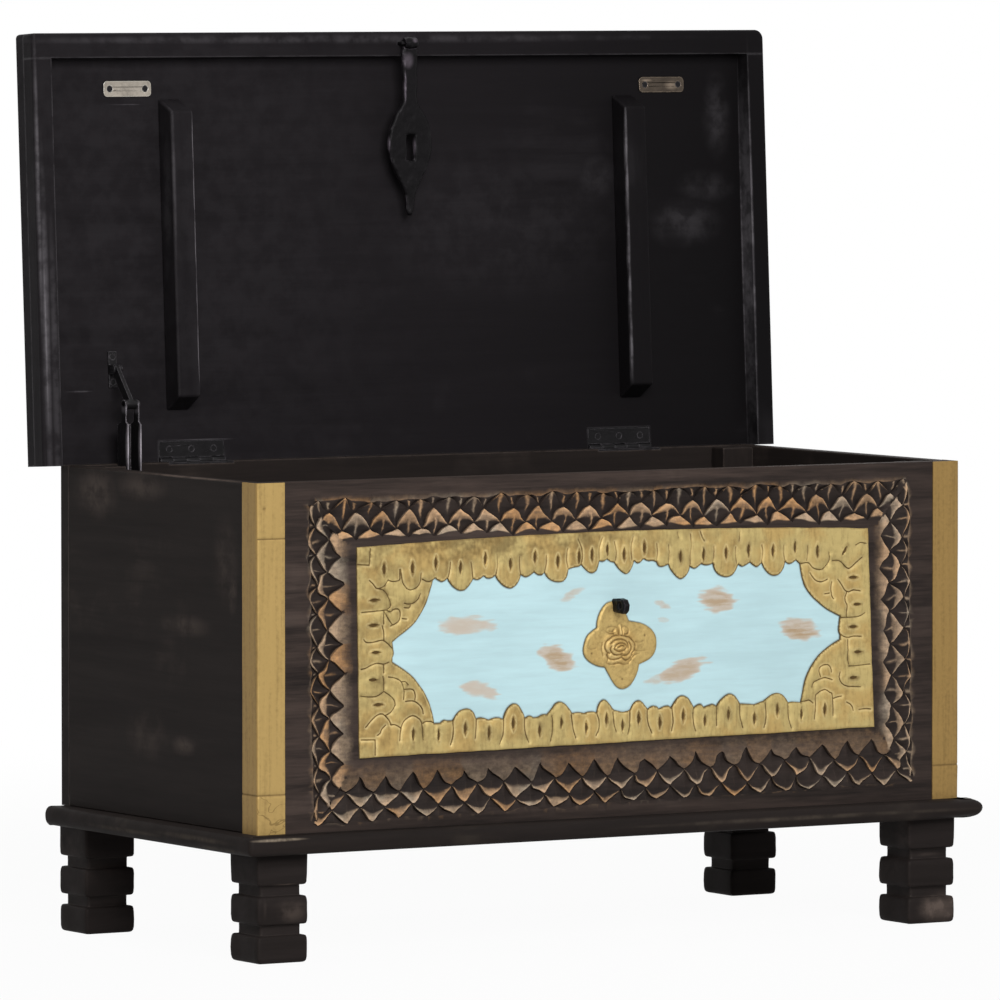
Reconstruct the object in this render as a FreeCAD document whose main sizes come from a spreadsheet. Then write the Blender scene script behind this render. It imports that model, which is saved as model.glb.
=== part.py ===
import FreeCAD, Part
import math
import os
import re
from types import SimpleNamespace

V = FreeCAD.Vector
ALONG_X = V(1, 0, 0)
ALONG_Y = V(0, 1, 0)
UP = V(0, 0, 1)
DOWN = V(0, 0, -1)
LEFT_AND_RIGHT = {"left": -1, "right": 1}
KNUCKLE_COUNT = 5

# Driving dimensions, in millimetres and degrees
SIZES = {
    # Carcase boards
    "body_width": 762,
    "body_depth": 372,
    "body_height": 320,
    "wall_thickness": 15,
    "post_width": 34,
    "post_depth": 22,
    "post_drop": 1,
    # Plinth board and feet
    "plinth_overhang": 19,
    "plinth_thickness": 18,
    "plinth_corner_radius": 6,
    "plinth_edge_radius": 6,
    "foot_side": 52.5,
    "foot_height": 100,
    "foot_inset": 0.8,
    "back_foot_spread": 4,
    "foot_edge_radius": 2,
    "foot_groove_height": 10,
    "foot_groove_depth": 5,
    "foot_upper_block": 29,
    "foot_middle_block": 26,
    "dowel_radius": 6,
    "dowel_in_foot": 30,
    "dowel_clearance": 0.1,
    # Lid
    "lid_open_angle": 93.1,
    "lid_gap": 0.5,
    "lid_tail": 1.5,
    "lid_thickness": 16,
    "lid_edge_radius": 3,
    "lid_corner_radius": 9,
    "lid_left_corner_radius": 4,
    "rim_height": 18,
    "rim_front_width": 23.5,
    "rim_side_width": 20,
    "rim_front_clearance": 5,
    "rim_side_clearance": 5.5,
    "rim_edge_radius": 3.5,
    "batten_width": 24,
    "batten_height": 25,
    "batten_bevel": 13,
    "batten_from_side": 129,
    "batten_from_hinge": 47.5,
    "batten_from_rim": 38.2,
    # Butt hinges
    "hinge_from_side": 143,
    "hinge_length": 70,
    "leaf_thickness": 2,
    "knuckle_radius": 3.2,
    "knuckle_clearance": 0.5,
    "knuckle_gap": 0.3,
    "hinge_pin_radius": 1.6,
    "mortise_clearance": 0.4,
    "hinge_screw_spacing": 24,
    # Shared fits and fasteners
    "pin_clearance": 0.05,
    "screw_head_radius": 3,
    "screw_shank_radius": 1.5,
    "screw_length": 9,
    "screw_clearance": 0.1,
    "cut_overrun": 5,
    # Magnetic catches and their strike plates
    "strike_from_side": 84,
    "strike_length": 51,
    "strike_width": 15,
    "strike_thickness": 1.5,
    "strike_corner_radius": 4,
    "strike_clearance": 1.2,
    "strike_screw_spacing": 38,
    "catch_length": 46,
    "catch_depth": 13,
    "catch_height": 15,
    "catch_drop": 2.5,
    "magnet_length": 32,
    "magnet_depth": 7,
    "magnet_height": 8,
    "magnet_proud": 0.5,
    "magnet_clearance": 0.2,
    # Brass corner strips
    "strip_front_width": 28,
    "strip_side_width": 26,
    "strip_thickness": 1.2,
    "strip_bend_radius": 2,
    # Painted panel in its hand-cut brass frame
    "frame_from_left": 104.5,
    "frame_from_right": 94.3,
    "frame_right_lean": 7.5,
    "frame_below_top": 61,
    "frame_height": 193,
    "frame_rise": 5.8,
    "frame_bow": 6,
    "frame_thickness": 1.2,
    "fan_border": 36.5,
    "fan_width": 43,
    "fan_bulge": 9,
    "fan_tip_half": 9,
    "fan_tip_point": 4,
    "petal_border": 31,
    "petal_bow": 10,
    "petal_pitch": 50,
    "petal_drop": 11,
    "petal_side_drop": 2.5,
    "panel_lap": 12,
    "panel_thickness": 5,
    "panel_clearance": 0.3,
    # Brass quatrefoil medallion
    "medallion_from_frame": 56.5,
    "medallion_extra_width": 2,
    "medallion_notch": 18,
    "medallion_thickness": 2,
    "medallion_drop": 2.5,
    "medallion_shift": 4,
    "medallion_tilt": 5,
    # Hasp, its eye on the lid and its staple on the front
    "eye_rod_radius": 2,
    "eye_half_span": 8,
    "eye_drop": 6.5,
    "eye_depth_in_rim": 11,
    "hasp_roll_radius": 5.5,
    "hasp_roll_length": 10,
    "hasp_thickness": 4,
    "hasp_neck_width": 14,
    "hasp_neck_end": 62,
    "hasp_leaf_width": 48,
    "hasp_slot_centre": 100,
    "hasp_slot_width": 8,
    "hasp_slot_height": 24,
    "hasp_waist": 141,
    "hasp_waist_width": 9,
    "hasp_length": 164,
    "hasp_tip_width": 5,
    "staple_thickness": 6,
    "staple_height": 15,
    "staple_reach": 25,
    "staple_tang": 12,
    "staple_eye_radius": 4,
    "staple_clearance": 0.2,
    # Folding lid stay
    "stay_bracket_along_lid": 88,
    "stay_bracket_standoff": 8,
    "stay_link_forward": 28,
    "stay_link_down": 32,
    "stay_link_thickness": 4,
    "stay_eye_radius": 4.5,
    "stay_pin_radius": 2,
    "stay_pin_head_radius": 3.5,
    "stay_pin_head_thickness": 1.2,
    "stay_arm_width": 15,
    "stay_arm_depth": 17,
    "stay_arm_sheet": 1.5,
    "stay_boss_clearance": 0.3,
    "stay_arm_clearance": 1,
    "stay_plate_thickness": 2,
    "stay_plate_width": 19,
    "stay_plate_height": 52,
    "stay_plate_screw_spacing": 38,
    "bracket_length": 34,
    "bracket_thickness": 2,
    "bracket_ear_thickness": 2,
    "bracket_screw_spacing": 24,
    "bracket_ear_clearance": 0.3,
}

doc = FreeCAD.newDocument("StorageChest")
sheet = doc.addObject("Spreadsheet::Sheet", "Sizes")
for row, (alias, value) in enumerate(SIZES.items(), start=1):
    sheet.set(f"A{row}", alias)
    sheet.set(f"B{row}", str(value))
    sheet.setAlias(f"B{row}", alias)
doc.recompute()
size = SimpleNamespace(**{alias: float(sheet.get(alias)) for alias in SIZES})
ALIAS = re.compile(r"\b(" + "|".join(SIZES) + r")\b")
pieces = []


# Helpers that add objects to the document


def bind(item, prop, formula):
    """Tie a property to a formula of named sizes."""
    item.setExpression(prop, ALIAS.sub(r"Sizes.\g<0>", formula))


def box(name, formulas, corner):
    """Block of three size formulas standing on its lowest corner."""
    item = doc.addObject("Part::Box", name)
    for prop, formula in zip(("Length", "Width", "Height"), formulas):
        bind(item, prop, formula)
    item.Placement = FreeCAD.Placement(corner, FreeCAD.Rotation())
    return item


def cylinder(name, radius, length, start, along):
    """Round bar of a radius and length formula, from a point along a direction."""
    item = doc.addObject("Part::Cylinder", name)
    bind(item, "Radius", radius)
    bind(item, "Height", length)
    item.Placement = FreeCAD.Placement(start, FreeCAD.Rotation(UP, along))
    return item


def fuse(name, items):
    """Join several objects into one solid."""
    item = doc.addObject("Part::MultiFuse", name)
    item.Shapes = items
    return item


def cut(name, base, tools):
    """Take tools away from a base."""
    item = doc.addObject("Part::Cut", name)
    item.Base = base
    item.Tool = tools[0] if len(tools) == 1 else fuse(name + "_tools", tools)
    return item


def rounded(name, base, radius, picks):
    """Round the edges of a base that the test picks."""
    doc.recompute()
    item = doc.addObject("Part::Fillet", name)
    item.Base = base
    edges = enumerate(base.Shape.Edges, start=1)
    item.Edges = [(number, radius, radius) for number, edge in edges if picks(edge)]
    return item


def rounded_loop(corners):
    """Closed outline through (point, radius) corners, with a tangent arc at each radius."""
    starts, arcs, ends = [], [], []
    count = len(corners)
    for number, (point, radius) in enumerate(corners):
        back = (corners[number - 1][0] - point).normalize()
        ahead = (corners[(number + 1) % count][0] - point).normalize()
        half = math.acos(back.dot(ahead)) / 2
        inward = (back + ahead).normalize()
        starts.append(point + back * (radius / math.tan(half)))
        ends.append(point + ahead * (radius / math.tan(half)))
        middle = point + inward * (radius / math.sin(half) - radius)
        if radius > 0:
            arcs.append(Part.Arc(starts[-1], middle, ends[-1]))
    lines = [Part.LineSegment(ends[number - 1], starts[number]) for number in range(count)]
    return lines + arcs


def padded(name, plane, curves, length):
    """Body whose sketch of curves on an origin plane is padded by a length formula."""
    body = doc.addObject("PartDesign::Body", name)
    sketch = body.newObject("Sketcher::SketchObject", name + "_outline")
    support = [item for item in body.Origin.OriginFeatures if item.Role == plane][0]
    sketch.AttachmentSupport = [(support, "")]
    sketch.MapMode = "FlatFace"
    for curve in curves:
        sketch.addGeometry(curve, False)
    pad = body.newObject("PartDesign::Pad", name + "_pad")
    pad.Profile = sketch
    bind(pad, "Length", length)
    return body


def eased(body, name, radius, picks):
    """Fillet the edges of a body's last feature that the test picks."""
    doc.recompute()
    base = body.Tip
    fillet = body.newObject("PartDesign::Fillet", name)
    edges = enumerate(base.Shape.Edges, start=1)
    fillet.Base = (base, [f"Edge{number}" for number, edge in edges if picks(edge)])
    bind(fillet, "Radius", radius)
    body.Tip = fillet


def screws(name, points, into, head):
    """Flat-headed screws with the holes for them in the plate and in the wood."""
    made, plate_holes, wood_holes = [], [], []
    for number, point in enumerate(points):
        tag = f"{name}_{number}"
        cap = cylinder(tag + "_head", "screw_head_radius", head, point, into)
        shank = cylinder(tag + "_shank", "screw_shank_radius", "screw_length", point, into)
        made.append(fuse(tag, [cap, shank]))
        outside = point - into * size.cut_overrun
        through = f"{head} + 2 * cut_overrun"
        wide = "screw_head_radius + screw_clearance"
        plate_holes.append(cylinder(tag + "_plate_hole", wide, through, outside, into))
        deep = "screw_length + cut_overrun + screw_clearance"
        narrow = "screw_shank_radius + screw_clearance"
        wood_holes.append(cylinder(tag + "_wood_hole", narrow, deep, outside, into))
    group = doc.addObject("Part::Compound", name)
    group.Links = made
    return group, plate_holes, wood_holes


def keep(item, label, placement=None):
    """Name a finished piece and put it in its place."""
    item.Label = label
    if placement is not None:
        item.Placement = placement
    pieces.append(item)


# Levels and planes that the pieces share
plinth_top = size.foot_height + size.plinth_thickness
wall_top = plinth_top + size.body_height
half_width = size.body_width / 2
front_face = -size.body_depth / 2
back_face = size.body_depth / 2
front_inside = front_face + size.wall_thickness
back_inside = back_face - size.wall_thickness
side_inside = half_width - size.wall_thickness
knuckle_reach = size.knuckle_radius + size.knuckle_clearance
hinge_y = back_face + knuckle_reach
hinge_z = wall_top + size.lid_gap / 2
lid_under = size.lid_gap / 2
lid_half_width = half_width + size.rim_side_clearance + size.rim_side_width
rim_inside = front_face - size.rim_front_clearance - hinge_y
lid_front = rim_inside - size.rim_front_width
rim_under = lid_under - size.rim_height
leaf_width = size.wall_thickness + knuckle_reach
hinge_centre = half_width - size.hinge_from_side
batten_centre = half_width - size.batten_from_side
strike_centre = half_width - size.strike_from_side
frame_left = size.frame_from_left - half_width
frame_right = half_width - size.frame_from_right
frame_top = wall_top - size.frame_below_top
frame_bottom = frame_top - size.frame_height

at_hinge = FreeCAD.Placement(V(0, hinge_y, hinge_z), FreeCAD.Rotation())
lid_swing = FreeCAD.Rotation(ALONG_X, -size.lid_open_angle)
open_lid = FreeCAD.Placement(V(0, hinge_y, hinge_z), lid_swing)
on_front = FreeCAD.Placement(V(0, front_face, 0), FreeCAD.Rotation())


# Butt hinges: leaves in their mortises, knuckles and pins


def hinge_leaf(name, side, own_knuckles, low, screw_holes):
    """One leaf in hinge coordinates, with its knuckles round the axis."""
    start = side * hinge_centre - size.hinge_length / 2
    segment = size.hinge_length / KNUCKLE_COUNT
    plate = box(
        name + "_plate",
        ("hinge_length", "wall_thickness", "leaf_thickness"),
        V(start, -leaf_width, low),
    )
    solids = [plate]
    for number in own_knuckles:
        left = start + number * segment + size.knuckle_gap / 2
        width = f"hinge_length / {KNUCKLE_COUNT} - knuckle_gap"
        reach = "knuckle_radius + knuckle_clearance"
        tongue = box(
            f"{name}_tongue_{number}",
            (width, reach, "leaf_thickness"),
            V(left, -knuckle_reach, low),
        )
        barrel = cylinder(
            f"{name}_knuckle_{number}", "knuckle_radius", width, V(left, 0, 0), ALONG_X
        )
        solids += [tongue, barrel]
    bore = cylinder(
        name + "_bore",
        "hinge_pin_radius + pin_clearance",
        "hinge_length + 2 * cut_overrun",
        V(start - size.cut_overrun, 0, 0),
        ALONG_X,
    )
    return cut(name + "_cut", fuse(name + "_solid", solids), [bore] + screw_holes)


def hinge_screw_points(side, level):
    """Three screws along the middle of a leaf."""
    middle = side * hinge_centre
    centre = -(leaf_width + knuckle_reach) / 2
    spacing = size.hinge_screw_spacing
    return [V(middle + step * spacing, centre, level) for step in (-1, 0, 1)]


wall_screw_points = []
lid_screw_points = []
for side in LEFT_AND_RIGHT.values():
    wall_screw_points += hinge_screw_points(side, -lid_under)
    lid_screw_points += hinge_screw_points(side, lid_under)
wall_screws, wall_leaf_holes, back_board_holes = screws(
    "wall_hinge_screw", wall_screw_points, DOWN, "leaf_thickness"
)
lid_screws, lid_leaf_holes, lid_panel_holes = screws(
    "lid_hinge_screw", lid_screw_points, UP, "leaf_thickness"
)
keep(wall_screws, "hinge_wall_screws", at_hinge)
keep(lid_screws, "hinge_lid_screws", open_lid)

back_mortises = []
lid_mortises = []
screws_each = len(wall_leaf_holes) // len(LEFT_AND_RIGHT)
for word, side in LEFT_AND_RIGHT.items():
    start = side * hinge_centre - size.hinge_length / 2
    share = slice(0, screws_each) if side < 0 else slice(screws_each, None)
    wall_leaf = hinge_leaf(
        f"wall_leaf_{word}",
        side,
        range(0, KNUCKLE_COUNT, 2),
        -lid_under - size.leaf_thickness,
        wall_leaf_holes[share],
    )
    lid_leaf = hinge_leaf(
        f"lid_leaf_{word}",
        side,
        range(1, KNUCKLE_COUNT, 2),
        lid_under,
        lid_leaf_holes[share],
    )
    pin = cylinder(
        f"pin_{word}", "hinge_pin_radius", "hinge_length", V(start, hinge_y, hinge_z), ALONG_X
    )
    keep(wall_leaf, f"hinge_wall_leaf_{word}", at_hinge)
    keep(lid_leaf, f"hinge_lid_leaf_{word}", open_lid)
    keep(pin, f"hinge_pin_{word}")
    mortise_size = "hinge_length + 2 * mortise_clearance"
    loose_start = start - size.mortise_clearance
    back_mortises.append(
        box(
            f"back_mortise_{word}",
            (mortise_size, "wall_thickness + 2 * cut_overrun", "leaf_thickness + cut_overrun"),
            V(loose_start, back_inside - size.cut_overrun, wall_top - size.leaf_thickness),
        )
    )
    lid_mortises.append(
        box(
            f"lid_mortise_{word}",
            (mortise_size, "wall_thickness + mortise_clearance", "leaf_thickness + cut_overrun"),
            V(loose_start, -leaf_width - size.mortise_clearance, lid_under - size.cut_overrun),
        )
    )
    notch_height = "knuckle_radius + knuckle_clearance + cut_overrun"
    lid_mortises.append(
        box(
            f"lid_notch_{word}",
            (mortise_size, "knuckle_radius + knuckle_clearance + cut_overrun", notch_height),
            V(loose_start, -knuckle_reach, -size.cut_overrun),
        )
    )


# Folding lid stay: a parallel linkage that keeps its link level with itself

bracket_pin = V(0, -size.stay_bracket_along_lid, lid_under - size.stay_bracket_standoff)
link_reach = V(0, -size.stay_link_forward, -size.stay_link_down)
arm_reach = lid_swing.multVec(bracket_pin)
axis_place = V(0, hinge_y, hinge_z)
post_side = size.post_width - side_inside
plate_face = post_side + size.stay_plate_thickness
arm_left = plate_face + size.stay_arm_clearance
stay_middle = arm_left + size.stay_arm_width / 2
wall_pivot = axis_place + link_reach + V(stay_middle, 0, 0)
lid_pivot = axis_place + arm_reach + V(stay_middle, 0, 0)
arm_length = arm_reach.Length
link_length = link_reach.Length
at_arm = FreeCAD.Placement(wall_pivot, FreeCAD.Rotation(UP, arm_reach))
at_link = FreeCAD.Placement(lid_pivot, FreeCAD.Rotation(DOWN, link_reach))


def stay_arm():
    """Pressed channel, open at the back, with round ends at its two pivots."""
    left = -size.stay_arm_width / 2
    half = size.stay_arm_depth / 2
    curves = [
        Part.LineSegment(V(-half, 0, 0), V(-half, arm_length, 0)),
        Part.Arc(V(-half, arm_length, 0), V(0, arm_length + half, 0), V(half, arm_length, 0)),
        Part.LineSegment(V(half, arm_length, 0), V(half, 0, 0)),
        Part.Arc(V(half, 0, 0), V(0, -half, 0), V(-half, 0, 0)),
    ]
    blank = padded("stay_arm_blank", "YZ_Plane", curves, "stay_arm_width")
    blank.Placement = FreeCAD.Placement(V(left, 0, 0), FreeCAD.Rotation())
    hollow = doc.addObject("Part::Box", "stay_arm_hollow")
    bind(hollow, "Length", "stay_arm_width - 2 * stay_arm_sheet")
    bind(hollow, "Width", "stay_arm_depth + cut_overrun")
    hollow.Height = arm_length + 2 * (half + size.cut_overrun)
    corner = V(left + size.stay_arm_sheet, size.stay_arm_sheet - half, -half - size.cut_overrun)
    hollow.Placement = FreeCAD.Placement(corner, FreeCAD.Rotation())
    holes = [hollow]
    for number, height in enumerate((0, arm_length)):
        holes.append(
            cylinder(
                f"stay_arm_hole_{number}",
                "stay_pin_radius + pin_clearance",
                "stay_arm_width + 2 * cut_overrun",
                V(left - size.cut_overrun, 0, height),
                ALONG_X,
            )
        )
    keep(cut("stay_arm_cut", blank, holes), "stay_arm", at_arm)


def stay_pin(label, left, right, placement):
    """Rivet across a pivot, with a flat head at each end."""
    shaft = doc.addObject("Part::Cylinder", label + "_shaft")
    bind(shaft, "Radius", "stay_pin_radius")
    shaft.Height = right - left
    shaft.Placement = FreeCAD.Placement(V(left, 0, 0), FreeCAD.Rotation(UP, ALONG_X))
    head = cylinder(
        label + "_head", "stay_pin_head_radius", "stay_pin_head_thickness", V(right, 0, 0), ALONG_X
    )
    keep(fuse(label + "_solid", [shaft, head]), label, placement)


def stay_link():
    """Flat link with an eye at each end and a wide boss at the knee."""
    half = size.stay_eye_radius
    curves = [
        Part.LineSegment(V(-half, 0, 0), V(-half, -link_length, 0)),
        Part.Arc(V(-half, -link_length, 0), V(0, -link_length - half, 0), V(half, -link_length, 0)),
        Part.LineSegment(V(half, -link_length, 0), V(half, 0, 0)),
        Part.Arc(V(half, 0, 0), V(0, half, 0), V(-half, 0, 0)),
    ]
    bar = padded("stay_link_bar", "YZ_Plane", curves, "stay_link_thickness")
    bar.Placement = FreeCAD.Placement(V(-size.stay_link_thickness / 2, 0, 0), FreeCAD.Rotation())
    inside = size.stay_arm_width / 2 - size.stay_arm_sheet - size.stay_boss_clearance
    boss = cylinder(
        "stay_link_boss",
        "stay_eye_radius",
        "stay_arm_width - 2 * stay_arm_sheet - 2 * stay_boss_clearance",
        V(-inside, 0, -link_length),
        ALONG_X,
    )
    holes = []
    for number, height in enumerate((0, -link_length)):
        holes.append(
            cylinder(
                f"stay_link_hole_{number}",
                "stay_pin_radius + pin_clearance",
                "stay_arm_width + 2 * cut_overrun",
                V(-size.stay_arm_width / 2 - size.cut_overrun, 0, height),
                ALONG_X,
            )
        )
    solid = fuse("stay_link_solid", [bar, boss])
    keep(cut("stay_link_cut", solid, holes), "stay_link", at_link)


def stay_bracket():
    """Plate on the lid with two ears that hold the upper pin."""
    ear_inside = size.stay_link_thickness / 2 + size.bracket_ear_clearance
    bracket_half = ear_inside + size.bracket_ear_thickness
    middle = -size.stay_bracket_along_lid
    under = lid_under - size.bracket_thickness
    spacing = size.bracket_screw_spacing / 2
    spots = [V(stay_middle, middle + step * spacing, under) for step in (-1, 1)]
    group, plate_holes, wood_holes = screws("bracket_screw", spots, UP, "bracket_thickness")
    keep(group, "stay_bracket_screws", open_lid)
    width = "stay_link_thickness + 2 * bracket_ear_clearance + 2 * bracket_ear_thickness"
    corner = V(stay_middle - bracket_half, middle - size.bracket_length / 2, under)
    solids = [box("bracket_plate", (width, "bracket_length", "bracket_thickness"), corner)]
    pin_level = bracket_pin.z
    for step in (-1, 1):
        left = stay_middle + step * ear_inside - (step < 0) * size.bracket_ear_thickness
        ear = box(
            f"bracket_ear_{step}",
            ("bracket_ear_thickness", "2 * stay_eye_radius", "stay_bracket_standoff"),
            V(left, middle - size.stay_eye_radius, pin_level),
        )
        tip = cylinder(
            f"bracket_tip_{step}",
            "stay_eye_radius",
            "bracket_ear_thickness",
            V(left, middle, pin_level),
            ALONG_X,
        )
        solids += [ear, tip]
    bore = cylinder(
        "bracket_bore",
        "stay_pin_radius + pin_clearance",
        "stay_arm_width + 2 * cut_overrun",
        V(stay_middle - size.stay_arm_width / 2 - size.cut_overrun, middle, pin_level),
        ALONG_X,
    )
    keep(
        cut("bracket_cut", fuse("bracket_solid", solids), [bore] + plate_holes),
        "stay_lid_bracket",
        open_lid,
    )
    at_pin = open_lid.multiply(
        FreeCAD.Placement(V(stay_middle, middle, pin_level), FreeCAD.Rotation())
    )
    stay_pin("stay_lid_pin", -bracket_half, bracket_half, at_pin)
    return wood_holes


def stay_plate():
    """Plate screwed to the side of the back post, with the arm's lower pin."""
    middle_y = back_inside - size.post_depth / 2
    spacing = size.stay_plate_screw_spacing / 2
    spots = [V(plate_face, middle_y, wall_pivot.z + step * spacing) for step in (-1, 1)]
    group, plate_holes, wood_holes = screws(
        "stay_plate_screw", spots, -ALONG_X, "stay_plate_thickness"
    )
    keep(group, "stay_plate_screws")
    corner = V(
        post_side,
        middle_y - size.stay_plate_width / 2,
        wall_pivot.z - size.stay_plate_height / 2,
    )
    plate = box(
        "stay_plate_blank",
        ("stay_plate_thickness", "stay_plate_width", "stay_plate_height"),
        corner,
    )
    bore = cylinder(
        "stay_plate_bore",
        "stay_pin_radius + pin_clearance",
        "stay_plate_thickness + 2 * cut_overrun",
        V(post_side - size.cut_overrun, wall_pivot.y, wall_pivot.z),
        ALONG_X,
    )
    keep(cut("stay_plate_cut", plate, [bore] + plate_holes), "stay_wall_plate")
    at_pivot = FreeCAD.Placement(wall_pivot, FreeCAD.Rotation())
    outside = size.stay_arm_width / 2 + size.stay_boss_clearance
    stay_pin("stay_wall_pin", post_side - stay_middle, outside, at_pivot)
    return wood_holes


stay_arm()
stay_link()
knee_half = size.stay_arm_width / 2
stay_pin(
    "stay_knee_pin",
    -knee_half,
    knee_half,
    at_arm.multiply(FreeCAD.Placement(V(0, 0, arm_length), FreeCAD.Rotation())),
)
lid_panel_holes += stay_bracket()
post_holes = stay_plate()


# Magnetic catches on the front board and strike plates on the lid

strike_points = []
strike_middle = front_inside + size.strike_clearance + size.strike_width / 2 - hinge_y
strike_under = lid_under - size.strike_thickness
for side in LEFT_AND_RIGHT.values():
    for step in (-1, 1):
        across = side * strike_centre + step * size.strike_screw_spacing / 2
        strike_points.append(V(across, strike_middle, strike_under))
strike_screws, strike_holes, strike_wood_holes = screws(
    "strike_screw", strike_points, UP, "strike_thickness"
)
keep(strike_screws, "strike_screws", open_lid)
lid_panel_holes += strike_wood_holes

catch_points = []
catch_low = wall_top - size.catch_drop - size.catch_height
for side in LEFT_AND_RIGHT.values():
    for step in (-1, 1):
        lug = (size.catch_length + size.magnet_length) / 4
        across = side * strike_centre + step * lug
        middle = catch_low + size.catch_height / 2
        catch_points.append(V(across, front_inside + size.catch_depth, middle))
catch_screws = doc.addObject("Part::Compound", "catch_screws")
catch_bars = []
catch_holes = []
for number, point in enumerate(catch_points):
    length = "catch_depth + screw_length"
    catch_bars.append(
        cylinder(f"catch_screw_{number}", "screw_shank_radius", length, point, -ALONG_Y)
    )
    loose = "screw_shank_radius + screw_clearance"
    deep = "catch_depth + screw_length + screw_clearance + cut_overrun"
    outside = point + ALONG_Y * size.cut_overrun
    catch_holes.append(cylinder(f"catch_hole_{number}", loose, deep, outside, -ALONG_Y))
catch_screws.Links = catch_bars
keep(catch_screws, "catch_screws")

screws_each = len(strike_holes) // len(LEFT_AND_RIGHT)
for word, side in LEFT_AND_RIGHT.items():
    share = slice(0, screws_each) if side < 0 else slice(screws_each, None)
    middle = side * strike_centre
    left = middle - size.strike_length / 2
    right = middle + size.strike_length / 2
    near_edge = strike_middle - size.strike_width / 2
    far_edge = strike_middle + size.strike_width / 2
    corner = size.strike_corner_radius
    curves = rounded_loop(
        [
            (V(left, near_edge, 0), corner),
            (V(right, near_edge, 0), corner),
            (V(right, far_edge, 0), corner),
            (V(left, far_edge, 0), corner),
        ]
    )
    plate = padded(f"strike_blank_{word}", "XY_Plane", curves, "strike_thickness")
    plate.Placement = FreeCAD.Placement(V(0, 0, strike_under), FreeCAD.Rotation())
    keep(cut(f"strike_cut_{word}", plate, strike_holes[share]), f"strike_plate_{word}", open_lid)
    housing = box(
        f"catch_blank_{word}",
        ("catch_length", "catch_depth", "catch_height"),
        V(middle - size.catch_length / 2, front_inside, catch_low),
    )
    magnet_low = catch_low + size.catch_height + size.magnet_proud - size.magnet_height
    magnet_front = front_inside + (size.catch_depth - size.magnet_depth) / 2
    magnet = box(
        f"magnet_{word}",
        ("magnet_length", "magnet_depth", "magnet_height"),
        V(middle - size.magnet_length / 2, magnet_front, magnet_low),
    )
    loose = size.magnet_clearance
    pocket = box(
        f"catch_pocket_{word}",
        (
            "magnet_length + 2 * magnet_clearance",
            "magnet_depth + 2 * magnet_clearance",
            "magnet_height + cut_overrun",
        ),
        V(middle - size.magnet_length / 2 - loose, magnet_front - loose, magnet_low),
    )
    keep(
        cut(f"catch_cut_{word}", housing, [pocket] + catch_holes[share]),
        f"catch_housing_{word}",
    )
    keep(magnet, f"catch_magnet_{word}")


# Painted panel, brass frame, medallion and staple on the front


def petal_row(start, end, bow, inward):
    """Row of petal tips between two points: a long one between two short ones, over and over."""
    petal_share = 0.5
    count = max(round((end.x - start.x) / size.petal_pitch), 1)
    shares = ((1 - petal_share) / 2, petal_share, (1 - petal_share) / 2)
    drops = (size.petal_side_drop, size.petal_drop, size.petal_side_drop)

    def on_line(part):
        """Point at a part of the way along the bowed line."""
        return start + (end - start) * part + V(0, 4 * bow * part * (1 - part), 0)

    lobes = []
    done = 0
    for share, drop in list(zip(shares, drops)) * count:
        left = on_line(done / count)
        middle = on_line((done + share / 2) / count) + V(0, inward * drop, 0)
        done += share
        lobes.append(Part.Arc(left, middle, on_line(done / count)))
    return lobes


def fan(corner, tip, away):
    """Quarter fan from a corner of the petals to the tip of the opening."""
    across = V(tip.y - corner.y, corner.x - tip.x, 0).normalize()
    if across.dot(away) > 0:
        across = -across
    return Part.Arc(corner, (corner + tip) / 2 + across * size.fan_bulge, tip)


def frame_curves():
    """Outer edge and cusped opening of the pierced brass frame, as it was cut by hand."""
    top_left = V(frame_left, frame_top, 0)
    top_right = V(frame_right - size.frame_right_lean, frame_top, 0)
    bottom_left = V(frame_left, frame_bottom, 0)
    bottom_right = V(frame_right, frame_bottom + size.frame_rise, 0)
    crown = (top_left + top_right) / 2 + V(0, size.frame_bow, 0)
    outer = [
        Part.Arc(top_left, crown, top_right),
        Part.LineSegment(top_right, bottom_right),
        Part.LineSegment(bottom_right, bottom_left),
        Part.LineSegment(bottom_left, top_left),
    ]
    inner = []
    corners = {}
    for side, edge, rise in ((-1, bottom_left, 0), (1, bottom_right, size.frame_rise)):
        edge_x = edge.x - (side > 0) * size.frame_right_lean / 2
        tip_x = edge_x - side * size.fan_border
        corner_x = tip_x - side * size.fan_width
        low = frame_bottom + rise + size.petal_border
        high = frame_top - size.petal_border
        middle = (low + high) / 2
        upper = V(tip_x, middle + size.fan_tip_half, 0)
        lower = V(tip_x, middle - size.fan_tip_half, 0)
        point = V(tip_x - side * size.fan_tip_point, middle, 0)
        corners[side] = (V(corner_x, low, 0), V(corner_x, high, 0))
        outward = V(side, 0, 0)
        inner.append(fan(corners[side][0], lower, outward))
        inner.append(fan(corners[side][1], upper, outward))
        inner.append(Part.LineSegment(upper, point))
        inner.append(Part.LineSegment(point, lower))
    inner += petal_row(corners[-1][0], corners[1][0], 0, 1)
    inner += petal_row(corners[-1][1], corners[1][1], size.petal_bow, -1)
    return outer + inner


def medallion_curves():
    """Quatrefoil of four petals that come to a point."""
    notch = size.medallion_notch
    height = size.frame_height - 2 * size.medallion_from_frame
    width = height + size.medallion_extra_width
    tips = [
        V(width / 2, 0, 0),
        V(0, height / 2, 0),
        V(-width / 2, 0, 0),
        V(0, -height / 2, 0),
    ]
    curves = []
    for tip in tips:
        along = V(tip).normalize()
        across = V(-along.y, along.x, 0)
        for sign in (-1, 1):
            valley = (along + across * sign) * notch
            middle = (valley + tip) / 2 + (across * sign + along / 2) * (notch / 2)
            curves.append(Part.Arc(valley, middle, tip))
    return curves


staple_level = hinge_z + rim_under - size.eye_drop - size.hasp_slot_centre


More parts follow.
